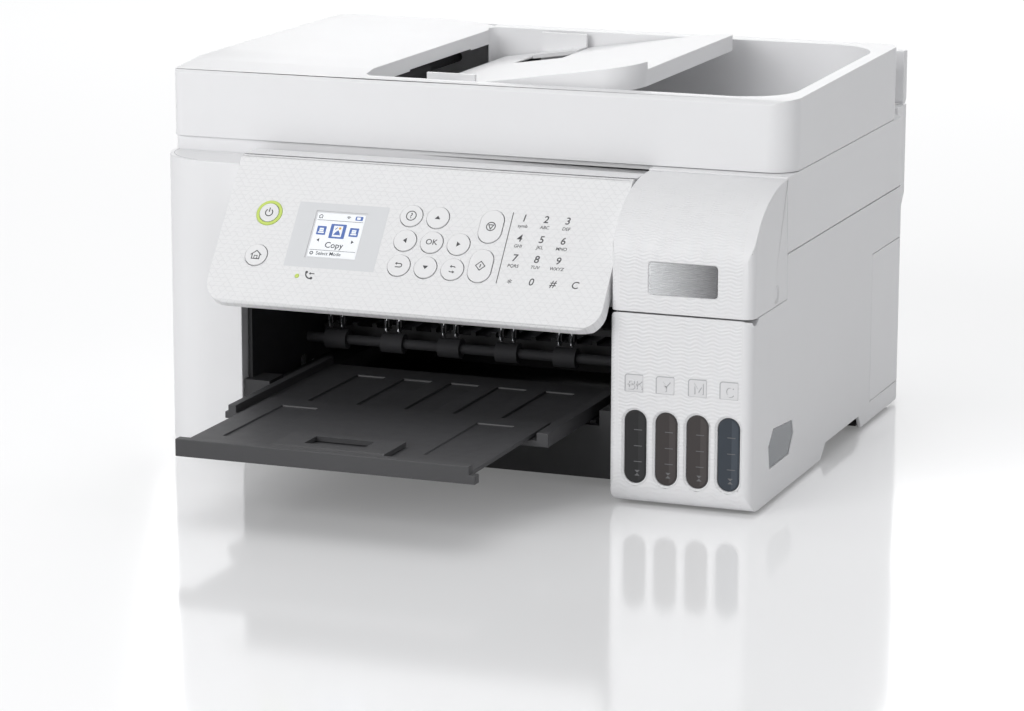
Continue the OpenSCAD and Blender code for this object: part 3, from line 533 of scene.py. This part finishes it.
def glossy(name, colour, rough=0.12, drift=0.1):
    """Hard gloss plastic with a very slight orange peel."""
    made = Finish(name)
    made.tint(made.noise(15), [c * (1 - drift) for c in colour], colour)
    made.link(made.spread(made.noise(4), rough * 0.8, rough * 1.2), made.shader.inputs["Roughness"])
    made.relief(made.noise(2.5), 0.004)
    made.shader.inputs["Coat Weight"].default_value = 0.4
    return made


key_white = moulded("key_satin", (0.88, 0.88, 0.885), 0.38, 0.6, 0.012)
ink_dark = glossy("ink_tank", (0.045, 0.048, 0.052), 0.2)
smoked = glossy("smoked_window", (0.09, 0.11, 0.13))
board_green = glossy("board_green", (0.02, 0.10, 0.04), 0.35)
bed_glass = Finish("bed_glass")
bed_glass.tint(bed_glass.noise(60), (0.50, 0.55, 0.55), (0.56, 0.60, 0.60))
bed_glass.shader.inputs["Roughness"].default_value = 0.03
bed_glass.shader.inputs["Transmission Weight"].default_value = 0.85
bed_glass.shader.inputs["Alpha"].default_value = 0.6
stopper_rubber = {
    name: moulded("stopper_" + name, SLOT_COLOUR["stopper_" + name], 0.6, 0.3, 0.03, 0.15)
    for name in ("black", "yellow", "magenta", "cyan")}
BY_SLOT = {
    "shell": shell_white, "inner_black": inner_black, "tray_grey": tray_grey, "foot_rubber": foot_rubber,
    "steel": brushed, "roller_rubber": roller_rubber, "pad_white": foam_white, "ink_tank": ink_dark,
    "smoked_window": smoked, "board": board_green, "badge": brushed, "bed_glass": bed_glass,
    "screen": smoked, "lamp": key_white, "key": key_white,
    **{"stopper_" + name: made for name, made in stopper_rubber.items()}}
for node, thing in frame["nodes"].items():
    thing.data.materials.clear()
    thing.data.materials.append(BY_SLOT[node_facts(node)[1]].material)
    smooth_by_angle(thing.data)
print("dressed nodes", len(frame["nodes"]))

# %% [markdown]
# Printing on plastic has a thickness, even if it is only a few hundredths of a millimetre. Every sign
# here is a thin closed slab laid in a plane of its own, so it needs no picture and exports as a mesh.
# The helper draws in millimetres: filled outlines, lines, arcs and letters.

# %% Signs drawn as thin slabs


class Signs:
    """Marks in one plane, in millimetres, all from one height to another."""

    def __init__(self, low=-0.03, high=0.06):
        self.work, self.low, self.high = bmesh.new(), low, high

    def band(self, first, second, closed=False, tint=0):
        """A strip between two rows of points, closed on itself or with square ends."""
        corners = ((first, self.low), (second, self.low), (second, self.high), (first, self.high))
        rows = [[self.work.verts.new((x * MM, y * MM, z * MM)) for x, y in line] for line, z in corners]
        count = len(first)
        for i in range(count if closed else count - 1):
            j = (i + 1) % count
            for low_row, high_row in zip(rows, rows[1:] + rows[:1]):
                face = self.work.faces.new((low_row[i], low_row[j], high_row[j], high_row[i]))
                face.material_index = tint
        if not closed:
            for i in (0, count - 1):
                self.work.faces.new([row[i] for row in rows]).material_index = tint

    def fill(self, outline, tint=0):
        """A filled outline."""
        under, over = ([self.work.verts.new((x * MM, y * MM, z * MM)) for x, y in outline]
                       for z in (self.low, self.high))
        faces = [self.work.faces.new(under), self.work.faces.new(over)]
        for i in range(len(outline)):
            j = (i + 1) % len(outline)
            faces.append(self.work.faces.new((under[i], under[j], over[j], over[i])))
        for face in faces:
            face.material_index = tint

    def line(self, points, width, tint=0, closed=False):
        """A line of one width, mitred at its corners."""
        count = len(points)
        sides = ([], [])
        for i, (x, y) in enumerate(points):
            before = points[i - 1] if closed or i else None
            after = points[(i + 1) % count] if closed or i < count - 1 else None
            ways = []
            for a, b in ((before, (x, y)), ((x, y), after)):
                if a and b:
                    far = hypot(b[0] - a[0], b[1] - a[1])
                    ways.append(Vector((-(b[1] - a[1]) / far, (b[0] - a[0]) / far)))
            out = sum(ways, Vector((0, 0))).normalized()
            out *= width / 2 / max(0.4, out.dot(ways[0]))
            sides[0].append((x + out.x, y + out.y))
            sides[1].append((x - out.x, y - out.y))
        self.band(*sides, closed=closed, tint=tint)

    def arc(self, x, y, radius, width, start=0, sweep=360, tint=0, steps=36):
        """Part of a ring, with its angles in degrees from the right."""
        closed = sweep == 360
        turns = [radians(start + sweep * i / steps) for i in range(steps + (0 if closed else 1))]
        reaches = (radius - width / 2, radius + width / 2)
        rows = [[(x + r * cos(t), y + r * sin(t)) for t in turns] for r in reaches]
        self.band(*rows, closed=closed, tint=tint)

    def disc(self, x, y, radius, tint=0):
        self.fill([(x + radius * cos(i * pi / 12), y + radius * sin(i * pi / 12)) for i in range(24)], tint)

    def plate(self, x, y, width, height, corner=0.0, tint=0):
        """A rectangle about its middle, with round corners."""
        if corner:
            outline = []
            for turn, (sx, sy) in enumerate(((1, 1), (-1, 1), (-1, -1), (1, -1))):
                for step in range(5):
                    angle = radians(90 * turn + 22.5 * step)
                    outline.append((x + sx * (width / 2 - corner) + corner * cos(angle),
                                    y + sy * (height / 2 - corner) + corner * sin(angle)))
        else:
            outline = [(x + sx * width / 2, y + sy * height / 2)
                       for sx, sy in ((1, 1), (-1, 1), (-1, -1), (1, -1))]
        self.fill(outline, tint)

    def letters(self, words, x, y, size, slant=0.0, weight=0.0):
        """Words centred on a point; size is about 1.4 times the height of a capital."""
        curve = bpy.data.curves.new("letters", "FONT")
        curve.body, curve.size, curve.shear, curve.offset = words, size * MM, slant, weight * MM
        curve.align_x, curve.align_y = "CENTER", "CENTER"
        curve.extrude, curve.resolution_u = (self.high - self.low) / 2 * MM, 3
        holder = bpy.data.objects.new("letters", curve)
        bpy.context.scene.collection.objects.link(holder)
        graph = bpy.context.evaluated_depsgraph_get()
        shape = bpy.data.meshes.new_from_object(holder.evaluated_get(graph))
        middle = Vector((x * MM, y * MM, (self.low + self.high) / 2 * MM))
        shape.transform(Matrix.Translation(middle))
        self.work.from_mesh(shape)
        bpy.data.objects.remove(holder)
        bpy.data.curves.remove(curve)
        bpy.data.meshes.remove(shape)

    def press(self, name, plane, body, slot_name, *finishes):
        """Lays the marks down in a plane and returns them as one piece."""
        bmesh.ops.remove_doubles(self.work, verts=self.work.verts, dist=1e-7)
        bmesh.ops.recalc_face_normals(self.work, faces=self.work.faces)
        shape = bpy.data.meshes.new(name)
        self.work.to_mesh(shape)
        self.work.free()
        shape.transform(plane)
        for made in finishes:
            shape.materials.append(made.material)
        return settle(bpy.data.objects.new(name, shape), body, slot_name)


def glowing(name, colour, strength):
    """A lit surface: the colour itself, with a little of its own light."""
    made = Finish(name)
    made.tint(made.noise(3.0), [c * 0.96 for c in colour], colour)
    made.shader.inputs["Emission Color"].default_value = (*colour, 1.0)
    made.shader.inputs["Emission Strength"].default_value = strength
    made.shader.inputs["Roughness"].default_value = 0.3
    return made


sign_ink = moulded("sign_ink", (0.055, 0.055, 0.06), 0.55, 0.4, 0.004, 0.1)
lime_lamp = glowing("lime_lamp", (0.55, 0.68, 0.16), 0.14)
face_plane = Matrix.Translation(at(0, 39.9, 179.2)) @ Matrix.Rotation(pi / 2 - PANEL_TILT, 4, "X")
print("panel plane at", [round(c, 4) for c in face_plane.translation])

# %% [markdown]
# Each key carries its own sign, so the sign sinks with the key when it is pressed. The signs are the
# plain ones of any office machine: power, house, question mark, arrows, start and stop.

# %% Signs on the keys
KEY_FACE = 0.5
KEYS = {
    "power": (-109.4, 36.7), "home": (-110.3, 64.2), "help": (-22, 32.4), "up": (-5.8, 32.4),
    "left": (-22, 48.2), "ok": (-5.8, 48.2), "right": (10.5, 48.2),
    "back": (-22, 64.1), "down": (-5.8, 64.1), "mode": (10.5, 64.1),
    "stop": (27.2, 35.6), "start": (26.7, 60.6)}


def arrowhead(signs, x, y, size, way):
    """A small solid triangle that points right, up, left or down."""
    turn = radians({"right": 0, "up": 90, "left": 180, "down": 270}[way])
    corners = ((0.55, 0), (-0.45, 0.75), (-0.45, -0.75))
    signs.fill([(x + size * (a * cos(turn) - b * sin(turn)), y + size * (a * sin(turn) + b * cos(turn)))
                for a, b in corners])


def draw_key(signs, name, x, y):
    """The sign of one key, about a point."""
    if name in ("up", "down", "left", "right"):
        arrowhead(signs, x, y, 2.2, name)
    elif name == "power":
        signs.arc(x, y, 2.2, 0.6, 125, 290)
        signs.line([(x, y + 0.4), (x, y + 3.1)], 0.6)
    elif name == "home":
        signs.line([(x - 3.3, y - 0.1), (x, y + 2.7), (x + 3.3, y - 0.1)], 0.55)
        signs.line([(x - 2.3, y + 0.4), (x - 2.3, y - 2.5), (x + 2.3, y - 2.5), (x + 2.3, y + 0.4)], 0.55)
        signs.line([(x - 0.9, y - 2.3), (x - 0.9, y - 0.5), (x + 0.9, y - 0.5), (x + 0.9, y - 2.3)], 0.4)
    elif name == "help":
        signs.arc(x, y, 2.9, 0.55)
        signs.letters("?", x, y - 0.1, 5.0, weight=0.03)
    elif name == "ok":
        signs.letters("OK", x, y, 4.9, weight=0.02)
    elif name == "back":
        signs.line([(x - 1.6, y + 1.1), (x + 0.8, y + 1.1)], 0.55)
        signs.arc(x + 0.8, y, 1.1, 0.55, -90, 180, steps=12)
        signs.line([(x + 0.8, y - 1.1), (x - 2.0, y - 1.1)], 0.55)
        arrowhead(signs, x - 1.7, y + 1.1, 1.2, "left")
    elif name == "mode":
        for side, way in ((1, "left"), (-1, "right")):
            hook = ((1.7, 1.2), (1.0, 1.7), (-0.6, 1.7))
            signs.line([(x + side * a, y + side * b) for a, b in hook], 0.5)
            arrowhead(signs, x - side * 1.1, y + side * 1.7, 1.2, way)
    elif name == "stop":
        signs.arc(x, y, 2.6, 0.55)
        signs.line([(x - 1.5, y + 1.0), (x + 1.5, y + 1.0), (x, y - 1.7)], 0.5, closed=True)
    else:
        signs.line([(x - 2.8, y), (x, y + 2.8), (x + 2.8, y), (x, y - 2.8)], 0.5, closed=True)
        signs.line([(x - 0.1, y - 1.1), (x + 0.1, y + 1.1)], 0.6)


for name, (x, s) in KEYS.items():
    signs = Signs(KEY_FACE - 0.03, KEY_FACE + 0.05)
    draw_key(signs, name, x, -s)
    signs.press(name + "_sign", face_plane, name + "_button", "key", sign_ink)
print("key signs", len(KEYS))

# %% [markdown]
# The number pad is printed on the panel itself: big slanted digits with small letters below, and one
# thin upright line that parts it from the keys. A handset stands beside the message lamp.

# %% Printed number pad
PAD_X, PAD_ROWS = (45.7, 58.8, 71.7, 84.7), (28.9, 41.6, 54.1, 68.3)
DIGIT, PAD_SLANT = 6.3, 0.12
PAD = (("1", "symb"), ("2", "ABC"), ("3", "DEF"), ("4", "GHI"), ("5", "JKL"), ("6", "MNO"),
       ("7", "PQRS"), ("8", "TUV"), ("9", "WXYZ"))
pad = Signs()
for place, (digit, small) in enumerate(PAD):
    x, y = PAD_X[place % 3], -PAD_ROWS[place // 3]
    pad.letters(digit, x - 0.1, y, DIGIT, slant=PAD_SLANT, weight=0.05)
    pad.letters(small, x, y - 4.9, 2.8, slant=PAD_SLANT, weight=0.02)
for x, digit, drop in zip(PAD_X, "*0#C", (1.6, 0, 0, 0)):
    pad.letters(digit, x - 0.1, -PAD_ROWS[3] - drop, DIGIT, slant=PAD_SLANT, weight=0.03)
pad.line([(38.4, -25.5), (38.4, -70.5)], 0.45)
pad.arc(-73.6, -73.2, 3.3, 0.75, 180, 90, steps=9)
for x, y in ((-76.6, -72.6), (-73.0, -76.2)):
    pad.disc(x, y, 0.8)
arrowhead(pad, -74.4, -73.3, 1.1, "left")
pad.line([(-74.2, -73.3), (-71.6, -73.3)], 0.5)
pad.press("number_pad", face_plane, "panel", "shell", sign_ink)
print("pad faces", len(bpy.data.objects["number_pad"].data.polygons))

# %% [markdown]
# The display sits in a smooth border without the lattice. Its picture is drawn like the signs, a
# layer at a time: a white page, a header with little icons, three blue tiles, and a line of words.
# Each layer is a few hundredths of a millimetre above the last, so no two surfaces share a plane.

# %% Display and its border
border_grey = moulded("display_border", (0.76, 0.77, 0.785), 0.3, 0.8, 0.006)
screen_white = glowing("screen_white", (0.86, 0.88, 0.9), 0.22)
tile_blue = glowing("tile_blue", (0.09, 0.16, 0.42), 0.2)
tile_pale = glowing("tile_pale", (0.45, 0.62, 0.85), 0.2)
sun_orange = glowing("sun_orange", (0.65, 0.34, 0.04), 0.2)
screen_ink = moulded("screen_ink", (0.04, 0.045, 0.06), 0.3, 0.4, 0.002, 0.1)
border = Signs(-0.02, 0.08)
OUTER = [(-92, -28), (-36.3, -28), (-36.3, -69.5), (-92, -69.5)]
INNER = [(-80.4, -33.0), (-48.5, -33.0), (-48.5, -63.5), (-80.4, -63.5)]
border.band(INNER, OUTER, closed=True)
border.press("display_border", face_plane, "panel", "shell", border_grey)

LCD_X, LCD_Y, LCD_W, LCD_H = -64.45, -48.25, 29.6, 28.2


def lcd(u, v):
    """A point of the display's picture: u from its left and v from its top, both from 0 to 1."""
    return LCD_X + (u - 0.5) * LCD_W, LCD_Y + (0.5 - v) * LCD_H


page = Signs(-0.22, -0.1)
page.plate(LCD_X, LCD_Y, LCD_W, LCD_H)
page.press("screen_page", face_plane, "panel", "screen", screen_white)
tiles = Signs(-0.12, -0.06)
TILES = ((0.16, 0.40, 5.6, 5.6), (0.50, 0.40, 9.6, 9.2), (0.84, 0.40, 5.6, 5.6), (0.88, 0.08, 4.6, 2.6))
for u, v, width, height in TILES:
    tiles.plate(*lcd(u, v), width, height, 0.5)
tiles.press("screen_tiles", face_plane, "panel", "screen", tile_blue)
art = Signs(-0.08, -0.02)
for u in (0.16, 0.84):
    x, y = lcd(u, 0.40)
    art.plate(x, y + 0.5, 2.6, 2.2)
    art.plate(x, y - 1.3, 3.6, 0.9)
art.plate(*lcd(0.50, 0.40), 5.6, 7.0)
art.plate(*lcd(0.87, 0.08), 2.2, 1.5)
art.press("screen_cards", face_plane, "panel", "screen", screen_white)
scene_marks = Signs(-0.04, 0.02)
x, y = lcd(0.50, 0.40)
HILLS = ((-2.2, -2.4), (2.2, -2.4), (1.2, -0.4), (0.3, 0.8), (-1.1, -0.6))
CLOUD = ((-1.9, 1.2), (-0.6, 2.6), (-0.3, 2.3), (-1.5, 0.9))
for outline in (HILLS, CLOUD):
    scene_marks.fill([(x + a, y + b) for a, b in outline])
scene_marks.disc(x + 1.1, y + 1.9, 0.75, 1)
for u in (0.16, 0.84):
    x, y = lcd(u, 0.40)
    scene_marks.plate(x, y + 0.5, 1.6, 0.5, 0.0, 2)
scene_marks.press("screen_pictures", face_plane, "panel", "screen", tile_blue, sun_orange, tile_pale)
words = Signs(-0.09, -0.03)
for v in (0.165, 0.845):
    words.line([lcd(0.02, v), lcd(0.98, v)], 0.22)
words.letters("Copy", *lcd(0.5, 0.725), 5.2, weight=0.02)
words.letters("Select Mode", *lcd(0.43, 0.92), 3.1, weight=0.01)
words.arc(*lcd(0.075, 0.92), 0.85, 0.5, steps=20)
for u, way in ((0.14, "left"), (0.86, "right")):
    arrowhead(words, *lcd(u, 0.62), 1.5, way)
x, y = lcd(0.08, 0.08)
words.line([(x - 1.3, y), (x, y + 1.2), (x + 1.3, y)], 0.35)
words.line([(x - 0.9, y), (x - 0.9, y - 1.1), (x + 0.9, y - 1.1), (x + 0.9, y)], 0.35)
x, y = lcd(0.66, 0.11)
for radius in (0.5, 1.1, 1.7):
    words.arc(x, y, radius, 0.3, 45, 90, steps=8)
words.press("screen_words", face_plane, "panel", "screen", screen_ink)
for node, made in (("display", border_grey), ("panel_lights", lime_lamp)):
    frame["nodes"][node].data.materials.clear()
    frame["nodes"][node].data.materials.append(made.material)
print("display drawn")

# %% [markdown]
# Four windows in the front of the block show how much ink is left. Behind each sits the dark side of
# its tank, with a paler strip at its right edge that is painted light where light passes the edge, and
# with filling marks and a small hourglass at the lowest one. Each window has its own tint, because
# each ink tints the plastic a little differently.

# %% Ink windows
WINDOW_X = [120 + 18.13 * i for i in range(4)]
WINDOW_MIDDLE = 35.8
WINDOW_DEPTH = 1.6


def front_plane(depth):
    """A plane that faces forward, some way behind the tank face, with x across and z up."""
    return Matrix.Translation(at(0, depth, 0)) @ Matrix.Rotation(pi / 2, 4, "X")


def side_plane(x):
    """A plane that faces right, x from the paper path, with y across and z up."""
    upright = Matrix.Rotation(pi / 2, 4, "Z") @ Matrix.Rotation(pi / 2, 4, "X")
    return Matrix.Translation(at(x, 0, 0)) @ upright


def stadium(x, y, width, height):
    """The outline of a slot with round ends, about its middle."""
    radius, points = width / 2, []
    for middle, start in ((height / 2 - radius, 0), (radius - height / 2, 180)):
        turns = [radians(start + 15 * i) for i in range(13)]
        points += [(x + radius * cos(t), y + middle + radius * sin(t)) for t in turns]
    return points


WINDOW_TINTS = ((0.020, 0.020, 0.021), (0.052, 0.045, 0.044), (0.056, 0.049, 0.048), (0.046, 0.056, 0.070))
tick_grey = moulded("tick_grey", (0.15, 0.15, 0.155), 0.5, 0.4, 0.002, 0.05)


def tank_side(name, colour):
    """The dull side of a tank, seen through its window."""
    made = moulded(name, colour, 0.45, 0.8, 0.004, 0.15)
    made.shader.inputs["Specular IOR Level"].default_value = 0.25
    return made


window_plane = front_plane(WINDOW_DEPTH)
for number, (x, colour) in enumerate(zip(WINDOW_X, WINDOW_TINTS), 1):
    pane = Signs(-0.05, 0.12)
    pane.fill(stadium(x, WINDOW_MIDDLE, 12.2, 41.2))
    seen = tank_side(f"ink_seen_{number}", colour)
    pane.press(f"ink_window_{number}", window_plane, "base", "ink_tank", seen)
    # A paler strip along the right of each window: painted light where light passes the tank's edge.
    edge = Signs(0.1, 0.2)
    turns = [(cos(radians(a)), sin(radians(a))) for a in range(0, 75, 12)]
    upper = [(x + 5.2 * c, WINDOW_MIDDLE + 14.5 + 5.2 * s) for c, s in turns]
    lower = [(x + 5.2 * c, WINDOW_MIDDLE - 14.5 - 5.2 * s) for c, s in turns]
    edge.fill([*reversed(lower), *upper])
    painted_edge_light = tank_side(f"ink_edge_painted_light_{number}", [c * 1.35 + 0.006 for c in colour])
    edge.press(f"ink_edge_painted_light_{number}", window_plane, "base", "ink_tank", painted_edge_light)
    ticks = Signs(0.18, 0.26)
    for z in (45.5, 36.3, 27.3):
        ticks.line([(x - 0.9, z), (x + 3.8, z)], 0.4)
    ticks.fill([(x - 0.4, 22.4), (x + 2.6, 22.4), (x + 1.1, 20.9)])
    ticks.fill([(x + 1.1, 20.7), (x + 2.6, 19.2), (x - 0.4, 19.2)])
    ticks.press(f"ink_marks_{number}", window_plane, "base", "ink_tank", tick_grey)
print("windows", len(WINDOW_X))

# %% [markdown]
# Above each window a raised code tells which ink goes where. Its frame is drawn as grey lines, a
# painted shade of the raised edge, widest at the top and left with a round corner between them, and
# the field inside is left smooth. Each letter has a grey copy behind it, a little lower and to the
# right, a painted shadow.

# %% Raised codes and the smooth edges of the tank front
code_white = moulded("code_field", (0.80, 0.80, 0.81), 0.35, 0.6, 0.006)
# Grey for the painted shade of the raised code frames and the painted shadows of the letters.
painted_code_shade = moulded("code_painted_shade", (0.50, 0.50, 0.515), 0.4, 0.5, 0.006, 0.05)
rim_white = moulded("smooth_rim", (0.86, 0.86, 0.87), 0.3, 0.8, 0.006)
# Each letter is a few strokes in a cell 0.85 wide and 1 high.
STROKES = {
    "B": (((0.6, 0.52), (0, 0.52), (0, 1), (0.6, 1), (0.78, 0.9), (0.78, 0.64), (0.6, 0.52)),
          ((0, 0.52), (0, 0), (0.62, 0), (0.85, 0.13), (0.85, 0.38), (0.6, 0.52))),
    "K": (((0, 0), (0, 1)), ((0.8, 1), (0.05, 0.42)), ((0.3, 0.6), (0.85, 0))),
    "Y": (((0, 1), (0.42, 0.5), (0.84, 1)), ((0.42, 0.52), (0.42, 0))),
    "M": (((0, 0), (0, 1), (0.45, 0.3), (0.9, 1), (0.9, 0)),),
    "C": (tuple((0.45 + 0.45 * cos(radians(a)), 0.5 + 0.5 * sin(radians(a))) for a in range(40, 321, 28)),)}
CODES = ((119.2, "BK"), (137.4, "Y"), (156.2, "M"), (174.4, "C"))
STROKE = 0.85
fields, shades, codes = Signs(-0.06, 0.06), Signs(-0.05, 0.2), Signs(-0.05, 0.36)
for x, code in CODES:
    fields.plate(x, 72.4, 10.6, 10.0, 1.4)
    corner = [(x - 3.6 - 1.5 * cos(radians(a)), 75.7 + 1.5 * sin(radians(a))) for a in (0, 30, 60, 90)]
    # Grey frame lines, wide at the top and left and thin at the right and bottom: painted shade of the raised frame.
    shades.line([(x - 5.1, 67.6), *corner, (x + 5.2, 77.2)], 0.55)
    shades.line([(x + 5.3, 77.0), (x + 5.3, 67.5), (x - 5.0, 67.5)], 0.18)
    high, wide = (4.6, 3.7) if len(code) > 1 else (5.4, 5.4)
    for place, letter in enumerate(code):
        left = x + 0.4 - 0.43 * wide * len(code) - 0.35 * (len(code) - 1) + place * (wide + 0.9)
        for stroke in STROKES[letter]:
            path = [(left + u * wide, 69.3 + v * high) for u, v in stroke]
            codes.line(path, STROKE)
            # A grey copy of each stroke, lower and to the right: a painted shadow.
            shades.line([(px + 0.42, py - 0.34) for px, py in path], STROKE)
fields.press("code_fields", front_plane(0), "base", "shell", code_white)
shades.press("code_shadows", front_plane(0), "base", "shell", painted_code_shade)
codes.press("tank_codes", front_plane(0), "base", "shell", code_white)
for name, body, bottom, top in (("tank_rims", "base", 20, 111.6), ("lid_rims", "lid", 113.4, 139.4)):
    rims = Signs(-0.06, 0.05)
    rims.fill([(108.2, bottom), (110.2, bottom), (110.2, top), (108.2, top)])
    rims.press(name, front_plane(0), body, "shell", rim_white)

print("codes", len(CODES))

# %% [markdown]
# A plate of brushed metal sits in the lid, where such a machine has a badge, and here it is blank. Its
# grain runs level, so its noise is stretched along x. Its colour falls from light on the left to dark
# on the right, a painted reflection of a bright room and a dark one meeting in such a plate.

# %% Brushed plate on the lid
badge_metal = Finish("badge_metal")
spot = badge_metal.nodes.new("ShaderNodeSeparateXYZ")
badge_metal.link(badge_metal.place, spot.inputs[0])
sweep = badge_metal.nodes.new("ShaderNodeMapRange")
badge_metal.link(spot.outputs["X"], sweep.inputs["Value"])
sweep.inputs["From Min"].default_value = at(127, 0, 0).x
sweep.inputs["From Max"].default_value = at(167, 0, 0).x
# Colour from light at the left to dark at the right: a painted reflection of the room.
badge_metal.tint(sweep.outputs[0], (0.55, 0.56, 0.57), (0.12, 0.12, 0.125))
badge_metal.shader.inputs["Metallic"].default_value = 0.45
brushing = badge_metal.noise(1.0, place=badge_metal.turned(stretch=(0.03, 1, 1)))
badge_metal.link(badge_metal.spread(brushing, 0.2, 0.34), badge_metal.shader.inputs["Roughness"])
frame["nodes"]["badge_plate"].data.materials.clear()
frame["nodes"]["badge_plate"].data.materials.append(badge_metal.material)
print("badge", badge_metal.material.name)

# %% [markdown]
# The lid turns on pins just behind its lower front edge, so the edge below it needs a hollow for the
# lid to dip into. A thin trough lines that hollow and hides the stoppers when the lid is closed.

# %% Trough under the lid
PIN_Y, PIN_Z = 6, 116
trough = Signs(0, 79)
turns = [radians(a) for a in range(220, 325, 5)]
trough.band(*[[(PIN_Y + r * cos(t), PIN_Z + r * sin(t)) for t in turns] for r in (7.25, 7.6)])
trough.press("lid_trough", side_plane(108.2), "base", "shell", shell_white)
print("trough faces", len(bpy.data.objects["lid_trough"].data.polygons))

# %% [markdown]
# Some parts are too small to be worth a CAD solid of their own, yet a close look finds them: contact
# pins in the sockets, chips on the board, star wheels over the exit rollers. They are plain boxes and
# rods, gathered into one mesh per kind so that each kind stays a single named piece.

# %% Small parts as boxes and rods


class Bits:
    """Boxes and rods in millimetres, joined into one piece."""

    def __init__(self):
        self.work = bmesh.new()

    def box(self, x0, x1, y0, y1, z0, z1):
        low, high = at(x0, y0, z0), at(x1, y1, z1)
        grown = Matrix.Diagonal((*(high - low), 1.0))
        bmesh.ops.create_cube(self.work, size=1.0, matrix=Matrix.Translation((low + high) / 2) @ grown)

    def rod(self, start, end, radius, tip=None, sides=24):
        a, b = at(*start), at(*end)
        turn = (b - a).to_track_quat("Z", "Y").to_matrix().to_4x4()
        bmesh.ops.create_cone(self.work, cap_ends=True, segments=sides, radius1=radius * MM,
                              radius2=(radius if tip is None else tip) * MM, depth=(b - a).length,
                              matrix=Matrix.Translation((a + b) / 2) @ turn)

    def star(self, x, y, z, radius, teeth=14, thick=0.35):
        """A thin toothed wheel that stands across x."""
        rims = []
        for side in (-1, 1):
            rim = []
            for step in range(teeth * 2):
                reach = radius if step % 2 else radius * 0.78
                turn = pi * step / teeth
                spot = at(x + side * thick / 2, y + reach * cos(turn), z + reach * sin(turn))
                rim.append(self.work.verts.new(spot))
            rims.append(rim)
        self.work.faces.new(rims[0])
        self.work.faces.new(rims[1])
        for i in range(teeth * 2):
            j = (i + 1) % (teeth * 2)
            self.work.faces.new((rims[0][i], rims[0][j], rims[1][j], rims[1][i]))

    def done(self, name, body, slot_name, made):
        bmesh.ops.recalc_face_normals(self.work, faces=self.work.faces)
        shape = bpy.data.meshes.new(name)
        self.work.to_mesh(shape)
        self.work.free()
        smooth_by_angle(shape)
        shape.materials.append(made.material)
        return settle(bpy.data.objects.new(name, shape), body, slot_name)


contact_gold = Finish("contact_gold")
contact_gold.tint(contact_gold.noise(3), (0.72, 0.52, 0.22), (0.80, 0.60, 0.28))
contact_gold.shader.inputs["Metallic"].default_value = 1.0
gold_wear = contact_gold.spread(contact_gold.noise(2), 0.2, 0.35)
contact_gold.link(gold_wear, contact_gold.shader.inputs["Roughness"])
connector_cream = moulded("connector_cream", (0.74, 0.70, 0.60), 0.45, 0.4, 0.01, 0.08)

pins = Bits()
for x in (-126, -118):
    pins.rod((x, 313.8, 34), (x, 321, 34), 1.15, sides=20)
    pins.rod((x, 321, 34), (x, 322, 34), 1.15, 0.5, sides=20)
pins.done("inlet_pins", "base", "steel", brushed)
contacts = Bits()
for i in range(4):
    flat_x, thin_x = -95.2 + i * 2, -71.2 + i * 1.9
    contacts.box(flat_x, flat_x + 1, 312.2, 320, 47.9, 48.2)
    contacts.box(thin_x, thin_x + 0.6, 312.2, 321, 43.2, 43.7)
contacts.done("socket_contacts", "base", "steel", contact_gold)
tongue = Bits()
tongue.box(-96.2, -88.0, 311.9, 321, 46.6, 47.95)
tongue.done("socket_tongue", "base", "inner_black", inner_black)

chips = Bits()
for y, z, side, high in ((200, 62, 22, 2.2), (238, 78, 14, 1.6), (238, 52, 14, 1.6), (262, 90, 12, 1.4)):
    chips.box(-143.5, -143.4 + high, y, y + side, z, z + side)
for i in range(8):
    chips.box(-143.5, -142.2, 180 + i * 5, 183 + i * 5, 36, 37.6)
chips.done("board_chips", "base", "inner_black", inner_black)
sockets = Bits()
for y, z, long_side in ((116, 104, 30), (152, 104, 22), (182, 104, 40), (230, 104, 18), (256, 26, 24)):
    sockets.box(-143.5, -138.6, y, y + long_side, z, z + 7)
sockets.done("board_connectors", "base", "pad_white", connector_cream)
cans = Bits()
for y, z in ((120, 40), (120, 28), (134, 34), (270, 60), (270, 46)):
    cans.rod((-143.6, y, z), (-134.5, y, z), 4.2, sides=28)
cans.done("board_capacitors", "base", "steel", brushed)

wheels = Bits()
holder = Bits()
holder.box(-134.4, 101.8, 125, 131, 69, 72.6)
for i in range(6):
    for offset in (-4, 4):
        x = -115 + i * 37 + offset
        wheels.star(x, 128, 64.7, 4.7)
        holder.box(x - 1.7, x - 0.7, 126, 130, 63.5, 69.2)
        holder.box(x + 0.7, x + 1.7, 126, 130, 63.5, 69.2)
wheels.done("star_wheels", "base", "steel", brushed)
holder.done("star_wheel_holder", "base", "inner_black", inner_black)
print("small parts in", sum(len(o.data.polygons) for o in bpy.data.objects if o.type == "MESH"), "faces")

# %% [markdown]
# The top of the left column ends in a fine step that follows its round front. It is only a hair deep,
# so a thin shadow line on the ledge stands for it.

# %% Fine line on the ledge
COLUMN_ROUND, LEDGE_ROUND, LEDGE_TOP = 37, 34.4, 174
column_x = (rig.box("left_cover")[0].x - path_middle) / MM + COLUMN_ROUND
ledge_shadow = moulded("ledge_shadow", (0.42, 0.42, 0.43), 0.5, 0.4, 0.002)
ledge = Signs(-0.04, 0.03)
turns = [radians(a) for a in range(182, 262, 4)]
ledge.line([(column_x + LEDGE_ROUND * cos(t), 75 + LEDGE_ROUND * sin(t)) for t in turns], 0.35)
ledge.press("ledge_line", Matrix.Translation(at(0, 0, LEDGE_TOP)), "base", "shell", ledge_shadow)
print("ledge line laid")

# %% [markdown]
# The last cell notes the CAD box and the box of everything shown, so that the two can be compared.

# %% Sizes and finish
json.dump({"cad": [list(c) for c in cad_box], "visual": [list(c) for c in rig.bounds()]},
          open("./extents.json", "w"))
print(open("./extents.json").read())
